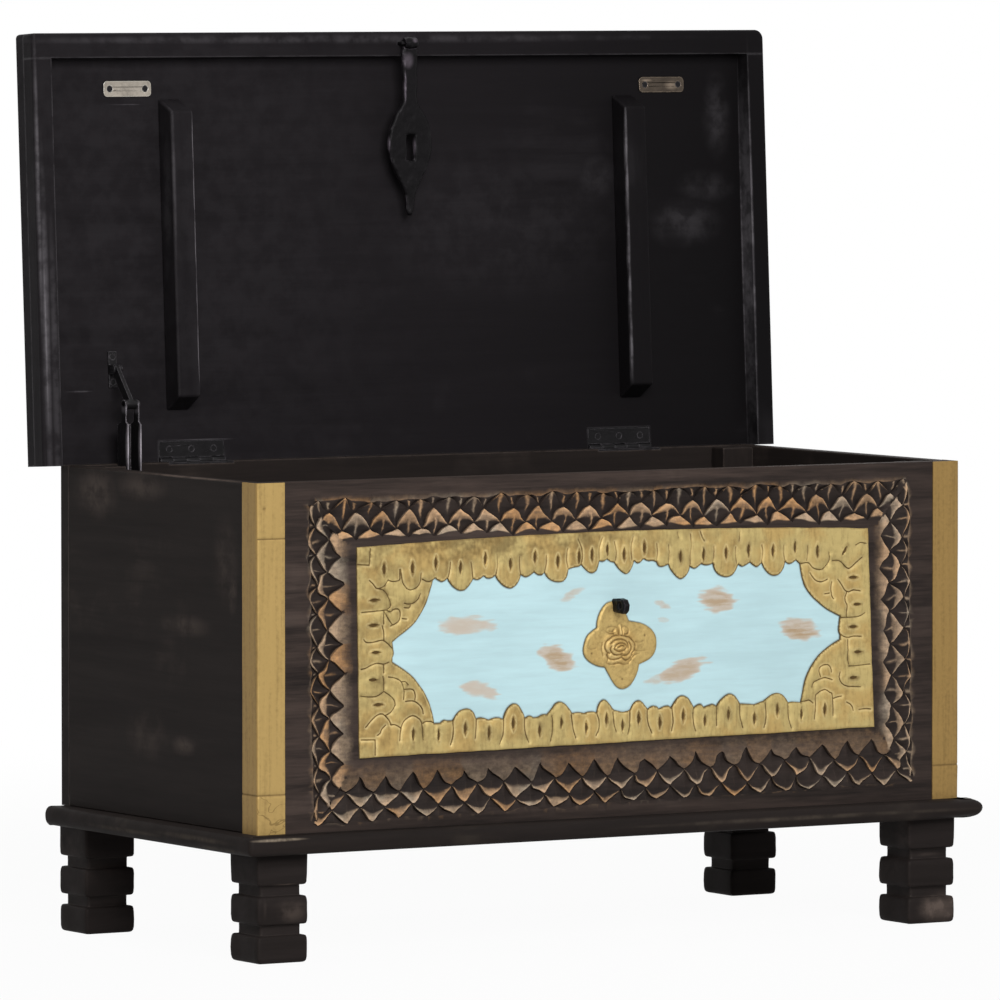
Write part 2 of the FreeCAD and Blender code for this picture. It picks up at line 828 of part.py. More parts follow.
def staple_slot(name):
    """Hole for the tang of the staple, through everything at the front."""
    loose = size.staple_clearance
    return box(
        name,
        (
            "staple_thickness + 2 * staple_clearance",
            "staple_tang + staple_clearance + medallion_thickness + cut_overrun",
            "staple_height + 2 * staple_clearance",
        ),
        V(
            -size.staple_thickness / 2 - loose,
            front_face - size.medallion_thickness - size.cut_overrun,
            staple_level - size.staple_height / 2 - loose,
        ),
    )


def front_panel():
    """Painted panel let into the front board behind the brass frame."""
    left = frame_left + size.panel_lap
    bottom = frame_bottom + size.frame_rise + size.panel_lap
    width = "body_width - frame_from_left - frame_from_right - frame_right_lean - 2 * panel_lap"
    height = "frame_height - frame_rise - 2 * panel_lap"
    corner = V(left, front_face, bottom)
    blank = box("painted_panel_blank", (width, "panel_thickness", height), corner)
    keep(cut("painted_panel_cut", blank, [staple_slot("panel_slot")]), "painted_panel")
    loose = size.panel_clearance
    return box(
        "panel_pocket",
        (
            width + " + 2 * panel_clearance",
            "panel_thickness + cut_overrun",
            height + " + 2 * panel_clearance",
        ),
        V(left - loose, front_face - size.cut_overrun, bottom - loose),
    )


panel_pocket = front_panel()
brass_frame = padded("brass_frame_body", "XZ_Plane", frame_curves(), "frame_thickness")
keep(brass_frame, "brass_frame", on_front)
medallion_blank = padded(
    "medallion_blank", "XZ_Plane", medallion_curves(), "medallion_thickness"
)
medallion_blank.Placement = FreeCAD.Placement(
    V(
        size.medallion_shift,
        front_face,
        (frame_top + frame_bottom) / 2 - size.medallion_drop,
    ),
    FreeCAD.Rotation(ALONG_Y, -size.medallion_tilt),
)
keep(cut("medallion_cut", medallion_blank, [staple_slot("medallion_slot")]), "medallion")


def hasp_staple():
    """Flat iron eye driven into the front board, with a round nose and a padlock hole."""
    half = size.staple_height / 2
    nose = half - size.staple_reach
    curves = [
        Part.LineSegment(V(nose, half, 0), V(size.staple_tang, half, 0)),
        Part.LineSegment(V(size.staple_tang, half, 0), V(size.staple_tang, -half, 0)),
        Part.LineSegment(V(size.staple_tang, -half, 0), V(nose, -half, 0)),
        Part.Arc(V(nose, -half, 0), V(-size.staple_reach, 0, 0), V(nose, half, 0)),
    ]
    blank = padded("staple_blank", "YZ_Plane", curves, "staple_thickness")
    hole = cylinder(
        "staple_hole",
        "staple_eye_radius",
        "staple_thickness + 2 * cut_overrun",
        V(-size.cut_overrun, nose, 0),
        ALONG_X,
    )
    corner = V(-size.staple_thickness / 2, front_face, staple_level)
    keep(
        cut("staple_cut", blank, [hole]),
        "hasp_staple",
        FreeCAD.Placement(corner, FreeCAD.Rotation()),
    )


hasp_staple()


# Hasp on its eye


def hasp_curves():
    """Neck, leaf, waist and point of the forged strap, with its slot, hung from zero."""
    neck = size.hasp_neck_width / 2
    leaf = size.hasp_leaf_width / 2
    waist = size.hasp_waist_width / 2
    tip = size.hasp_tip_width / 2
    neck_end = -size.hasp_neck_end
    middle = -size.hasp_slot_centre
    waist_at = -size.hasp_waist
    end = -size.hasp_length
    start = -size.hasp_roll_radius / 2
    upper = (neck_end + middle) / 2
    lower = (middle + waist_at) / 2
    bulge = (neck + leaf) / 2 + neck / 2
    taper = (waist + leaf) / 2 + waist
    slot_w = size.hasp_slot_width / 2
    slot_h = size.hasp_slot_height / 2
    curves = [Part.LineSegment(V(-neck, start, 0), V(neck, start, 0))]
    for sign in (-1, 1):
        curves += [
            Part.LineSegment(V(sign * neck, start, 0), V(sign * neck, neck_end, 0)),
            Part.Arc(
                V(sign * neck, neck_end, 0),
                V(sign * bulge, upper, 0),
                V(sign * leaf, middle, 0),
            ),
            Part.Arc(
                V(sign * leaf, middle, 0),
                V(sign * taper, lower, 0),
                V(sign * waist, waist_at, 0),
            ),
            Part.LineSegment(V(sign * waist, waist_at, 0), V(sign * tip, end, 0)),
        ]
    curves.append(Part.Arc(V(-tip, end, 0), V(0, end - tip, 0), V(tip, end, 0)))
    slot = rounded_loop(
        [
            (V(-slot_w, middle - slot_h, 0), 0),
            (V(slot_w, middle - slot_h, 0), 0),
            (V(slot_w, middle + slot_h, 0), 0),
            (V(-slot_w, middle + slot_h, 0), 0),
        ]
    )
    return curves + slot


eye_middle = V(0, (rim_inside + lid_front) / 2, rim_under - size.eye_drop)
hasp_pivot = open_lid.multVec(eye_middle)
strap = padded("hasp_strap", "XZ_Plane", hasp_curves(), "hasp_thickness")
strap.Placement = FreeCAD.Placement(V(0, size.hasp_thickness / 2, 0), FreeCAD.Rotation())
roll = cylinder(
    "hasp_roll",
    "hasp_roll_radius",
    "hasp_roll_length",
    V(-size.hasp_roll_length / 2, 0, 0),
    ALONG_X,
)
roll_bore = cylinder(
    "hasp_bore",
    "eye_rod_radius + pin_clearance",
    "hasp_neck_width + 2 * cut_overrun",
    V(-size.hasp_neck_width / 2 - size.cut_overrun, 0, 0),
    ALONG_X,
)
keep(
    cut("hasp_cut", fuse("hasp_solid", [strap, roll]), [roll_bore]),
    "hasp",
    FreeCAD.Placement(hasp_pivot, FreeCAD.Rotation()),
)


def hasp_eye():
    """Bent rod: a bar across for the hasp and two legs driven into the rim."""
    span = size.eye_half_span
    rise = "eye_drop + eye_depth_in_rim"
    bar = cylinder(
        "eye_bar", "eye_rod_radius", "2 * eye_half_span", eye_middle - V(span, 0, 0), ALONG_X
    )
    solids = [bar]
    holes = []
    for step in (-1, 1):
        foot = eye_middle + V(step * span, 0, 0)
        elbow = doc.addObject("Part::Sphere", f"eye_elbow_{step}")
        bind(elbow, "Radius", "eye_rod_radius")
        elbow.Placement = FreeCAD.Placement(foot, FreeCAD.Rotation())
        solids += [elbow, cylinder(f"eye_leg_{step}", "eye_rod_radius", rise, foot, UP)]
        loose = "eye_rod_radius + screw_clearance"
        deep = "eye_drop + eye_depth_in_rim + screw_clearance"
        holes.append(cylinder(f"eye_hole_{step}", loose, deep, foot, UP))
    keep(fuse("eye_solid", solids), "hasp_eye", open_lid)
    return holes


rim_eye_holes = hasp_eye()


# Lid: panel, three rims and two battens


def lid_outline():
    """Plan of the lid, with rounded front corners, the left one tighter."""
    return [
        (V(-lid_half_width, size.lid_tail, 0), 0),
        (V(-lid_half_width, lid_front, 0), size.lid_left_corner_radius),
        (V(lid_half_width, lid_front, 0), size.lid_corner_radius),
        (V(lid_half_width, size.lid_tail, 0), 0),
    ]


panel_body = padded("lid_panel_body", "XY_Plane", rounded_loop(lid_outline()), "lid_thickness")


def on_lid_top(edge):
    """Top edges of the lid panel, except the one along the hinge."""
    box_of_edge = edge.BoundBox
    at_top = math.isclose(box_of_edge.ZMin, size.lid_thickness, abs_tol=size.lid_gap)
    return at_top and not math.isclose(box_of_edge.YMin, size.lid_tail, abs_tol=size.lid_gap)


eased(panel_body, "lid_panel_edge", "lid_edge_radius", on_lid_top)
panel_body.Placement = FreeCAD.Placement(V(0, 0, lid_under), FreeCAD.Rotation())
keep(
    cut("lid_panel_cut", panel_body, lid_mortises + lid_panel_holes),
    "lid_panel",
    open_lid,
)

front_rim_body = padded(
    "front_rim_body",
    "XY_Plane",
    rounded_loop(
        [
            (V(-lid_half_width, rim_inside, 0), 0),
            (V(-lid_half_width, lid_front, 0), size.lid_left_corner_radius),
            (V(lid_half_width, lid_front, 0), size.lid_corner_radius),
            (V(lid_half_width, rim_inside, 0), 0),
        ]
    ),
    "rim_height",
)


def on_front_rim(edge):
    """Lower outer edge of the front rim, round both corners."""
    box_of_edge = edge.BoundBox
    low = math.isclose(box_of_edge.ZMax, 0, abs_tol=size.lid_gap)
    return low and not math.isclose(box_of_edge.YMin, rim_inside, abs_tol=size.lid_gap)


def on_side_rim(edge):
    """Lower outer edge of a side rim."""
    box_of_edge = edge.BoundBox
    low = math.isclose(box_of_edge.ZMax, 0, abs_tol=size.lid_gap)
    across = min(abs(box_of_edge.XMin), abs(box_of_edge.XMax))
    return low and math.isclose(across, lid_half_width, abs_tol=size.lid_gap)


eased(front_rim_body, "front_rim_edge", "rim_edge_radius", on_front_rim)
front_rim_body.Placement = FreeCAD.Placement(V(0, 0, rim_under), FreeCAD.Rotation())
keep(cut("front_rim_cut", front_rim_body, rim_eye_holes), "lid_rim_front", open_lid)

for word, side in LEFT_AND_RIGHT.items():
    outer = side * lid_half_width
    inner = outer - side * size.rim_side_width
    low, high = min(outer, inner), max(outer, inner)
    rim_body = padded(
        f"rim_body_{word}",
        "XY_Plane",
        rounded_loop(
            [
                (V(low, rim_inside, 0), 0),
                (V(high, rim_inside, 0), 0),
                (V(high, size.lid_tail, 0), 0),
                (V(low, size.lid_tail, 0), 0),
            ]
        ),
        "rim_height",
    )
    eased(rim_body, f"rim_edge_{word}", "rim_edge_radius", on_side_rim)
    under_lid = FreeCAD.Placement(V(0, 0, rim_under), FreeCAD.Rotation())
    keep(rim_body, f"lid_rim_{word}", open_lid.multiply(under_lid))

    near_end = -size.batten_from_hinge
    far_end = rim_inside + size.batten_from_rim
    bevel = size.batten_bevel
    batten_body = padded(
        f"batten_body_{word}",
        "YZ_Plane",
        rounded_loop(
            [
                (V(near_end, 0, 0), 0),
                (V(near_end - bevel, -size.batten_height, 0), 0),
                (V(far_end + bevel, -size.batten_height, 0), 0),
                (V(far_end, 0, 0), 0),
            ]
        ),
        "batten_width",
    )
    batten_left = side * batten_centre - size.batten_width / 2
    on_lid = FreeCAD.Placement(V(batten_left, 0, lid_under), FreeCAD.Rotation())
    keep(batten_body, f"lid_batten_{word}", open_lid.multiply(on_lid))


# Carcase boards, posts and brass corner strips

front_blank = box(
    "front_board_blank",
    ("body_width", "wall_thickness", "body_height"),
    V(-half_width, front_face, plinth_top),
)
front_tools = [panel_pocket, staple_slot("front_slot")] + catch_holes
keep(cut("front_board_cut", front_blank, front_tools), "front_board")
back_blank = box(
    "back_board_blank",
    ("body_width", "wall_thickness", "body_height"),
    V(-half_width, back_inside, plinth_top),
)
wall_holes = fuse("wall_hinge_holes", back_board_holes)
wall_holes.Placement = at_hinge
keep(cut("back_board_cut", back_blank, back_mortises + [wall_holes]), "back_board")
for word, side in LEFT_AND_RIGHT.items():
    left = -half_width if side < 0 else side_inside
    board = box(
        f"{word}_board_solid",
        ("wall_thickness", "body_depth - 2 * wall_thickness", "body_height"),
        V(left, front_inside, plinth_top),
    )
    keep(board, f"{word}_board")
    post_left = -side_inside if side < 0 else side_inside - size.post_width
    for depth_word, post_front in (
        ("front", front_inside),
        ("back", back_inside - size.post_depth),
    ):
        post = box(
            f"post_{depth_word}_{word}_blank",
            ("post_width", "post_depth", "body_height - post_drop"),
            V(post_left, post_front, plinth_top),
        )
        if side < 0 and depth_word == "back":
            post = cut("stay_post_cut", post, post_holes)
        keep(post, f"post_{depth_word}_{word}")

    outer_corner = V(side * (half_width + size.strip_thickness), front_face - size.strip_thickness, 0)
    inner_corner = V(side * half_width, front_face, 0)
    front_end = side * (half_width - size.strip_front_width)
    side_end = front_face + size.strip_side_width
    strip = padded(
        f"strip_body_{word}",
        "XY_Plane",
        rounded_loop(
            [
                (outer_corner, size.strip_bend_radius),
                (V(front_end, outer_corner.y, 0), 0),
                (V(front_end, front_face, 0), 0),
                (inner_corner, 0),
                (V(inner_corner.x, side_end, 0), 0),
                (V(outer_corner.x, side_end, 0), 0),
            ]
        ),
        "body_height",
    )
    keep(
        strip,
        f"corner_strip_{word}",
        FreeCAD.Placement(V(0, 0, plinth_top), FreeCAD.Rotation()),
    )


# Plinth board, feet and the dowels between them

plinth_left = half_width + size.plinth_overhang
plinth_front = front_face - size.plinth_overhang
plinth_body = padded(
    "plinth_body",
    "XY_Plane",
    rounded_loop(
        [
            (V(-plinth_left, back_face, 0), 0),
            (V(-plinth_left, plinth_front, 0), size.plinth_corner_radius),
            (V(plinth_left, plinth_front, 0), size.plinth_corner_radius),
            (V(plinth_left, back_face, 0), 0),
        ]
    ),
    "plinth_thickness",
)


def on_plinth_nose(edge):
    """Level edges of the plinth board, except those along the back."""
    box_of_edge = edge.BoundBox
    level = math.isclose(box_of_edge.ZMin, box_of_edge.ZMax, abs_tol=size.lid_gap)
    return level and not math.isclose(box_of_edge.YMin, back_face, abs_tol=size.lid_gap)


eased(plinth_body, "plinth_nose", "plinth_edge_radius", on_plinth_nose)
plinth_body.Placement = FreeCAD.Placement(V(0, 0, size.foot_height), FreeCAD.Rotation())


def upright(edge):
    """The four upright edges of a foot."""
    return edge.BoundBox.ZLength > size.foot_side


dowels = []
plinth_sockets = []
for depth_word, depth_side in (("front", -1), ("back", 1)):
    for word, side in LEFT_AND_RIGHT.items():
        tag = f"foot_{depth_word}_{word}"
        spread = size.back_foot_spread if depth_side > 0 else 0
        centre_x = side * (half_width + spread - size.foot_inset - size.foot_side / 2)
        centre_y = depth_side * (back_face - size.foot_inset - size.foot_side / 2)
        low = V(centre_x - size.foot_side / 2, centre_y - size.foot_side / 2, 0)
        blank = box(tag + "_blank", ("foot_side", "foot_side", "foot_height"), low)
        leg = rounded(tag + "_round", blank, size.foot_edge_radius, upright)
        tools = []
        level = size.foot_height - size.foot_upper_block - size.foot_groove_height
        for groove in ("upper", "lower"):
            wide = size.cut_overrun
            ring_size = "foot_side + 2 * cut_overrun"
            ring = box(
                f"{tag}_{groove}_ring",
                (ring_size, ring_size, "foot_groove_height"),
                V(low.x - wide, low.y - wide, level),
            )
            deep = size.foot_groove_depth
            core_size = "foot_side - 2 * foot_groove_depth"
            core = box(
                f"{tag}_{groove}_core",
                (core_size, core_size, "foot_groove_height"),
                V(low.x + deep, low.y + deep, level),
            )
            tools.append(cut(f"{tag}_{groove}_groove", ring, [core]))
            level -= size.foot_middle_block + size.foot_groove_height
        dowel_low = V(centre_x, centre_y, size.foot_height - size.dowel_in_foot)
        dowels.append(
            cylinder(
                tag + "_dowel", "dowel_radius", "dowel_in_foot + plinth_thickness", dowel_low, UP
            )
        )
        loose = "dowel_radius + dowel_clearance"
        deep = "dowel_in_foot + plinth_thickness + cut_overrun"
        socket = cylinder(tag + "_socket", loose, deep, dowel_low, UP)
        plinth_sockets.append(socket)
        keep(cut(tag + "_cut", leg, tools + [socket]), tag)

keep(cut("plinth_cut", plinth_body, plinth_sockets), "plinth_board")
dowel_group = doc.addObject("Part::Compound", "dowel_group")
dowel_group.Links = dowels
keep(dowel_group, "foot_dowels")


# Build, test and write every piece
doc.recompute()
for item in doc.Objects:
    if "Invalid" in item.State or "Error" in item.State:
        raise RuntimeError(f"{item.Label} failed to build")
for item in pieces:
    if item.Shape.isNull() or not item.Shape.isValid():
        raise RuntimeError(f"{item.Label} has no valid shape")
os.makedirs("parts", exist_ok=True)
for item in pieces:
    item.Shape.exportStep(f"parts/{item.Label}.step")
print(len(pieces), "pieces written")
print("hinge axis", hinge_y, hinge_z)
print("hasp pivot", hasp_pivot)
print("stay pivots", wall_pivot, lid_pivot)
print("staple level", staple_level)
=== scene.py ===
"""Looks of a storage chest: carved front, embossed brass, painted panel, stained wood and iron fittings."""

import math

import bpy
import numpy as np
from mathutils import Color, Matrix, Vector, noise
from mathutils.geometry import delaunay_2d_cdt


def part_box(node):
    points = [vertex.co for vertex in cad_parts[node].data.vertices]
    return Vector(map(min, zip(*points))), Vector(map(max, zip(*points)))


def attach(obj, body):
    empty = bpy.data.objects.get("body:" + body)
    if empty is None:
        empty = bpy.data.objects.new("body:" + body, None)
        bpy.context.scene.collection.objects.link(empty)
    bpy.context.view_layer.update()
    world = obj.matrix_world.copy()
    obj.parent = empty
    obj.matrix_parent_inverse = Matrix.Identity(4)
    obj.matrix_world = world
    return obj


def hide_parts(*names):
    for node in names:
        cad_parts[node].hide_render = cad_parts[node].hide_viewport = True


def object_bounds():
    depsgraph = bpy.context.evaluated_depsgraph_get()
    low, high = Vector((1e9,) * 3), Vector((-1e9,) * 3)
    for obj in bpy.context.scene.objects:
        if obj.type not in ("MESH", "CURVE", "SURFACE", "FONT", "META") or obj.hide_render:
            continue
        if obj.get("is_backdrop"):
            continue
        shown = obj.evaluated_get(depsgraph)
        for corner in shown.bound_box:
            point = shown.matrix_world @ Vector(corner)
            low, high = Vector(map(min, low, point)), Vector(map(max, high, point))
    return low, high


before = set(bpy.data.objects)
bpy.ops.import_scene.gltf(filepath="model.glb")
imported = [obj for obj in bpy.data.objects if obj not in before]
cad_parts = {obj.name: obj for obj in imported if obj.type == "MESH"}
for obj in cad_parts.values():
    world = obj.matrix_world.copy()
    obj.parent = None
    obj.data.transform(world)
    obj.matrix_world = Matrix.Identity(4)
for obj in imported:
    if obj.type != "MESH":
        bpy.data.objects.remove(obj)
CAD_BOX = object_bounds()

bl_info = {
    "name": "Storage Chest",
    "version": (1, 0, 0),
    "blender": (4, 5, 0),
    "location": "View3D > Sidebar > Chest",
    "description": "Dresses the storage chest with its carving, brass, paint and hardware",
    "category": "Add Mesh",
}

MM = 0.001
BOARD_LOW, BOARD_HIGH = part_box("front_board")
PANEL_LOW, PANEL_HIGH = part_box("painted_panel")
# Roundings of worn arrises, in metres
BOARD_ARRIS, LID_ARRIS = 0.0015, 0.0022
ROD_ARRIS, SHEET_ARRIS, FINE_ARRIS = 0.0008, 0.0004, 0.0003

# Places on the front, in millimetres: across from the middle and up from the plinth

# Corners of the carved band from the top left, clockwise, and the levels of its rows of scales
BAND_INNER = ((-291, 266), (293, 266), (299, 59.5), (-288, 48))
BAND_OUTER = ((-328, 302), (325, 303), (331, 17), (-323, 7))
BAND_LEVELS = ((0, 10, 24, 35.5), (0, 10, 24.5, 32), (0, 14, 29, 42), (0, 15, 27, 34.5))
# For each side: wear of the ground and of the lobes, chip shares of two rows of scales,
# wear of the stems and of the border, and least greyness
BAND_LOOKS = (
    (0.16, 0.85, 0.66, 1.0, 1.0, 0.45, -0.35),
    (0.34, 0.85, 0.66, 0.8, 0.9, 0.45, 0.45),
    (0.36, 0.45, 0.64, 0.66, 0.3, 0.0, 0.2),
    (0.3, 0.8, 0.68, 0.82, 0.8, 0.4, 0.1),
)
# Corners of the brass frame from the top left, clockwise, and the top of its bowed edge
FRAME_CORNERS = ((-277.5, 258.5), (279.2, 259.3), (286.7, 71.8), (-275, 66))
FRAME_CROWN = (1, 265)
# Arcs of the opening in the brass, clockwise from the top left: each runs on from the cusp before it
OPENING = (
    ((-194, 228),),
    ((-191, 226), (-187, 224.5), (-183, 226), (-181, 227.5)),
    ((-179, 224), (-175, 219.5), (-169, 216), (-163, 216), (-158, 220), (-153.5, 226)),
    ((-149, 225), (-145, 226.5), (-142.5, 228.5)),
    ((-138, 226), (-133, 226.5), (-130, 228.5)),
    ((-127, 224), (-121, 218.5), (-114, 216), (-108, 218.5), (-104.5, 223), (-102.5, 228)),
    ((-98, 226), (-94, 226.5), (-88, 230)),
    ((-84, 227.5), (-80, 227), (-77, 229.5)),
    ((-74, 225), (-69, 221.5), (-63, 220), (-57, 220.5), (-53, 224.5), (-51, 231.5)),
    ((-45, 233), (-40, 233.5), (-37, 235)),
    ((-33, 231), (-29, 228), (-25, 227), (-21, 229), (-19, 233), (-17.5, 238)),
    ((-13, 237.5), (-9, 239.5)),
    ((-5, 237), (-1, 236)),
    ((2, 232), (6, 228), (11, 225), (15, 226.5), (18, 231), (20.5, 237)),
    ((25, 234.5), (31, 238.5)),
    ((36, 236.5), (41, 236.5), (45, 235)),
    ((47, 231.5), (51, 230.5), (58, 232.5)),
    ((61, 227), (66, 221.5), (71, 218.5), (76, 220.5), (80, 225.5), (81.5, 230)),
    ((84, 228.5), (88, 228), (94, 232)),
    ((99, 230.5), (104, 231), (107, 232)),
    ((109, 226), (113, 221.5), (119, 219), (125, 219), (130, 222), (135, 230)),
    ((139, 228), (143, 229), (148, 231.5)),
    ((152, 228.5), (156, 227), (161, 230.5)),
    ((164, 225), (169, 220), (175, 218), (181, 220), (185, 225), (187, 231)),
    ((191, 228.5), (195, 229.5), (199, 232)),
    ((203.5, 228),),
    ((205, 219), (208, 209.5), (212, 203), (218, 196.5), (226, 190), (235, 184), (248.5, 177.5)),
    ((247.5, 170), (247, 164), (248.5, 160)),
    ((248.5, 155.5),),
    ((240, 151.5), (233, 147.5), (226, 142.5), (219, 135), (213.5, 127), (209, 117), (204.5, 98)),
    ((200, 98.5), (195, 99), (190.5, 98.5)),
    ((188, 102), (184, 106), (178, 107.8), (172, 106.5), (168, 104), (163, 101)),
    ((158, 99.5), (153, 98)),
    ((149, 98.5), (143, 99), (137, 99.5)),
    ((134.5, 103), (131, 107), (126, 109), (121, 107.5), (115, 103), (111, 98)),
    ((107, 100), (102, 99), (97, 97.5)),
    ((94, 100.5), (90, 100), (86, 97.5)),
    ((84, 101), (80, 106.5), (74, 109.3), (69, 108), (65, 104), (61, 98.5)),
    ((58, 100.5), (53, 100), (48, 98)),
    ((45, 100.5), (40, 101), (35.5, 98.5)),
    ((33, 101), (29, 105.5), (25, 107), (20, 104.5), (16, 98.5)),
    ((13, 97.5), (8, 97), (3, 98), (-1, 99)),
    ((-3, 100.5), (-6, 104.5), (-11, 108.8), (-15, 108), (-18.5, 104), (-20.5, 97.5)),
    ((-24, 98.5), (-29, 98.5), (-34, 97.5)),
    ((-40, 98.5), (-47, 98)),
    ((-50, 102), (-55, 107), (-60, 109), (-65, 107.5), (-69, 103), (-74, 98)),
    ((-79, 98), (-84, 96), (-88.5, 95.5)),
    ((-93, 97.5), (-98, 95.5)),
    ((-100, 100), (-105, 107.5), (-110, 109.3), (-115, 107), (-119, 102), (-121.5, 95.5)),
    ((-126, 97), (-131, 97), (-137, 95.5)),
    ((-145, 98), (-150.5, 97)),
    ((-153, 102.5), (-157, 106), (-162, 106.8), (-168, 105), (-172, 101.5), (-175.5, 96.5)),
    ((-181, 96.5), (-185, 97), (-189, 94.5)),
    ((-195.5, 94.5),),
    ((-197.5, 104), (-200.5, 113), (-205, 122), (-211, 130), (-218, 138), (-226, 144), (-240, 152.5)),
    ((-240, 156.5),),
    ((-238.5, 160), (-239, 164), (-240, 171)),
    ((-233, 176), (-225, 181), (-216, 188), (-209, 197), (-204, 205), (-200, 216), (-196.5, 226.5)),
)
# Engraved lines of the frame: left end, right end, top row and bottom row
LEFT_LINES = (
    ((-277, 243), (-264, 242)),
    ((-264, 242), (-263, 257)),
    ((-264, 228), (-260, 224.5), (-256, 220.5), (-249, 222), (-246, 225.5), (-244, 228)),
    ((-244, 228), (-241, 226.5), (-236, 226.5), (-232, 228), (-232, 237)),
    ((-231, 237), (-229, 226), (-225, 220), (-220, 218), (-214, 220), (-210, 225), (-209, 233)),
    ((-208, 227.5), (-204, 225.5), (-200, 225), (-198, 226)),
    ((-256, 220.5), (-250, 219), (-246, 215.5), (-243, 210), (-241.5, 206), (-242, 203), (-246, 200.5)),
    ((-272, 199), (-262, 199.5), (-252, 200), (-246, 200.5)),
    ((-248.5, 199), (-249, 194), (-249, 188)),
    ((-250.5, 186), (-249, 180), (-249, 172.5)),
    ((-270, 174), (-267, 171.5), (-260, 171.5), (-252, 173), (-249, 172.5), (-245, 170), (-241, 166)),
    (
        (-246, 200.5), (-242, 198.5), (-239, 200.5), (-234, 201),
        (-232, 199), (-231.5, 194), (-234, 189), (-242, 185.5),
    ),
    ((-247, 197), (-244, 192), (-240, 187)),
    ((-227, 206), (-222, 205), (-216, 206.5), (-212, 210), (-210, 214)),
    ((-227, 202), (-222, 201.5), (-220.5, 204)),
    ((-229, 192), (-225, 191.5)),
    ((-249, 151), (-249, 143)),
    ((-250, 140), (-248.8, 135), (-249, 127)),
    ((-273, 147), (-268, 148), (-262, 150.5), (-256, 152), (-249, 151), (-244, 152.5)),
    ((-273, 122.5), (-264, 121.5), (-256, 122), (-249, 126)),
    ((-249, 126), (-243, 122.5), (-239, 119), (-237, 115), (-237.5, 112), (-241, 107), (-247, 104)),
    ((-268, 94), (-262, 100), (-256, 104.5), (-251, 105.5), (-247, 103), (-243, 99), (-241.5, 95)),
    ((-247, 95), (-251, 91.5), (-253, 87.5), (-256, 86)),
    ((-241.5, 95), (-237, 95), (-232, 92.5), (-230.5, 91)),
    ((-232, 80), (-231, 90), (-228, 97), (-223, 101), (-218, 102.5), (-213, 100.5), (-209, 96), (-207, 80)),
    ((-208, 95), (-204, 96.5), (-199, 96.5), (-197, 95.5)),
    ((-244, 139), (-238, 138), (-232, 135.5), (-229, 131), (-227.5, 125), (-228, 118)),
    ((-227, 127), (-220, 127), (-217, 125.5), (-215.5, 121), (-216, 117)),
    ((-230, 134), (-226, 134), (-223, 131)),
    ((-226, 116), (-218, 116), (-212, 113), (-208, 108), (-207, 104)),
    ((-273, 82.5), (-258, 82)),
    ((-258, 82), (-258, 68)),
)
RIGHT_LINES = (
    (
        (205, 228.5), (211, 229), (214, 228), (218, 224), (222, 222.5),
        (227, 222), (231, 224), (236, 230), (236, 238),
    ),
    ((240, 230), (246, 230), (250, 228), (254, 224), (258, 222), (262, 224), (267, 228), (273, 232)),
    ((266, 244), (271, 246), (277, 245)),
    ((215, 219), (218, 215), (222, 211.5), (228, 210.5), (234, 212.5)),
    ((246, 212), (250, 207), (254, 201.5), (258, 200), (263, 201.5), (271, 200.5)),
    ((255.5, 199), (254, 195), (254.5, 191), (256.5, 187), (255.5, 180), (255.5, 176)),
    ((250, 176), (256, 176), (264, 176), (271, 177), (276, 179.5)),
    ((239, 210), (238, 204), (239, 197), (241, 194)),
    ((231, 199), (236, 199.5)),
    ((249.5, 160), (252, 158.5), (257, 157), (264, 158), (272, 157.5)),
    ((257, 155), (257.5, 145), (257, 138), (258, 132)),
    ((258, 130), (266, 130), (274, 130.5), (282, 131)),
    ((248.5, 124), (247.5, 120), (249, 116), (252, 113), (257, 111), (264, 110.5), (272, 110)),
    (
        (220, 82), (221, 93), (221, 103), (224, 106), (229, 108.5),
        (233, 108.5), (237, 106), (240, 103), (241, 84),
    ),
    ((217, 112), (219, 116), (223, 118), (231, 120), (236, 119), (239, 118)),
    ((227, 121), (225, 126), (226, 130), (230, 132), (235, 132), (238, 129), (238.5, 126)),
    ((241, 100), (246, 101.5), (250, 102)),
    ((256, 96), (260, 94), (262.5, 91), (263.5, 88)),
    ((270, 88.5), (277, 89), (283, 88.5)),
    ((206.5, 98.5), (210, 99), (214, 99.5), (218, 97)),
)
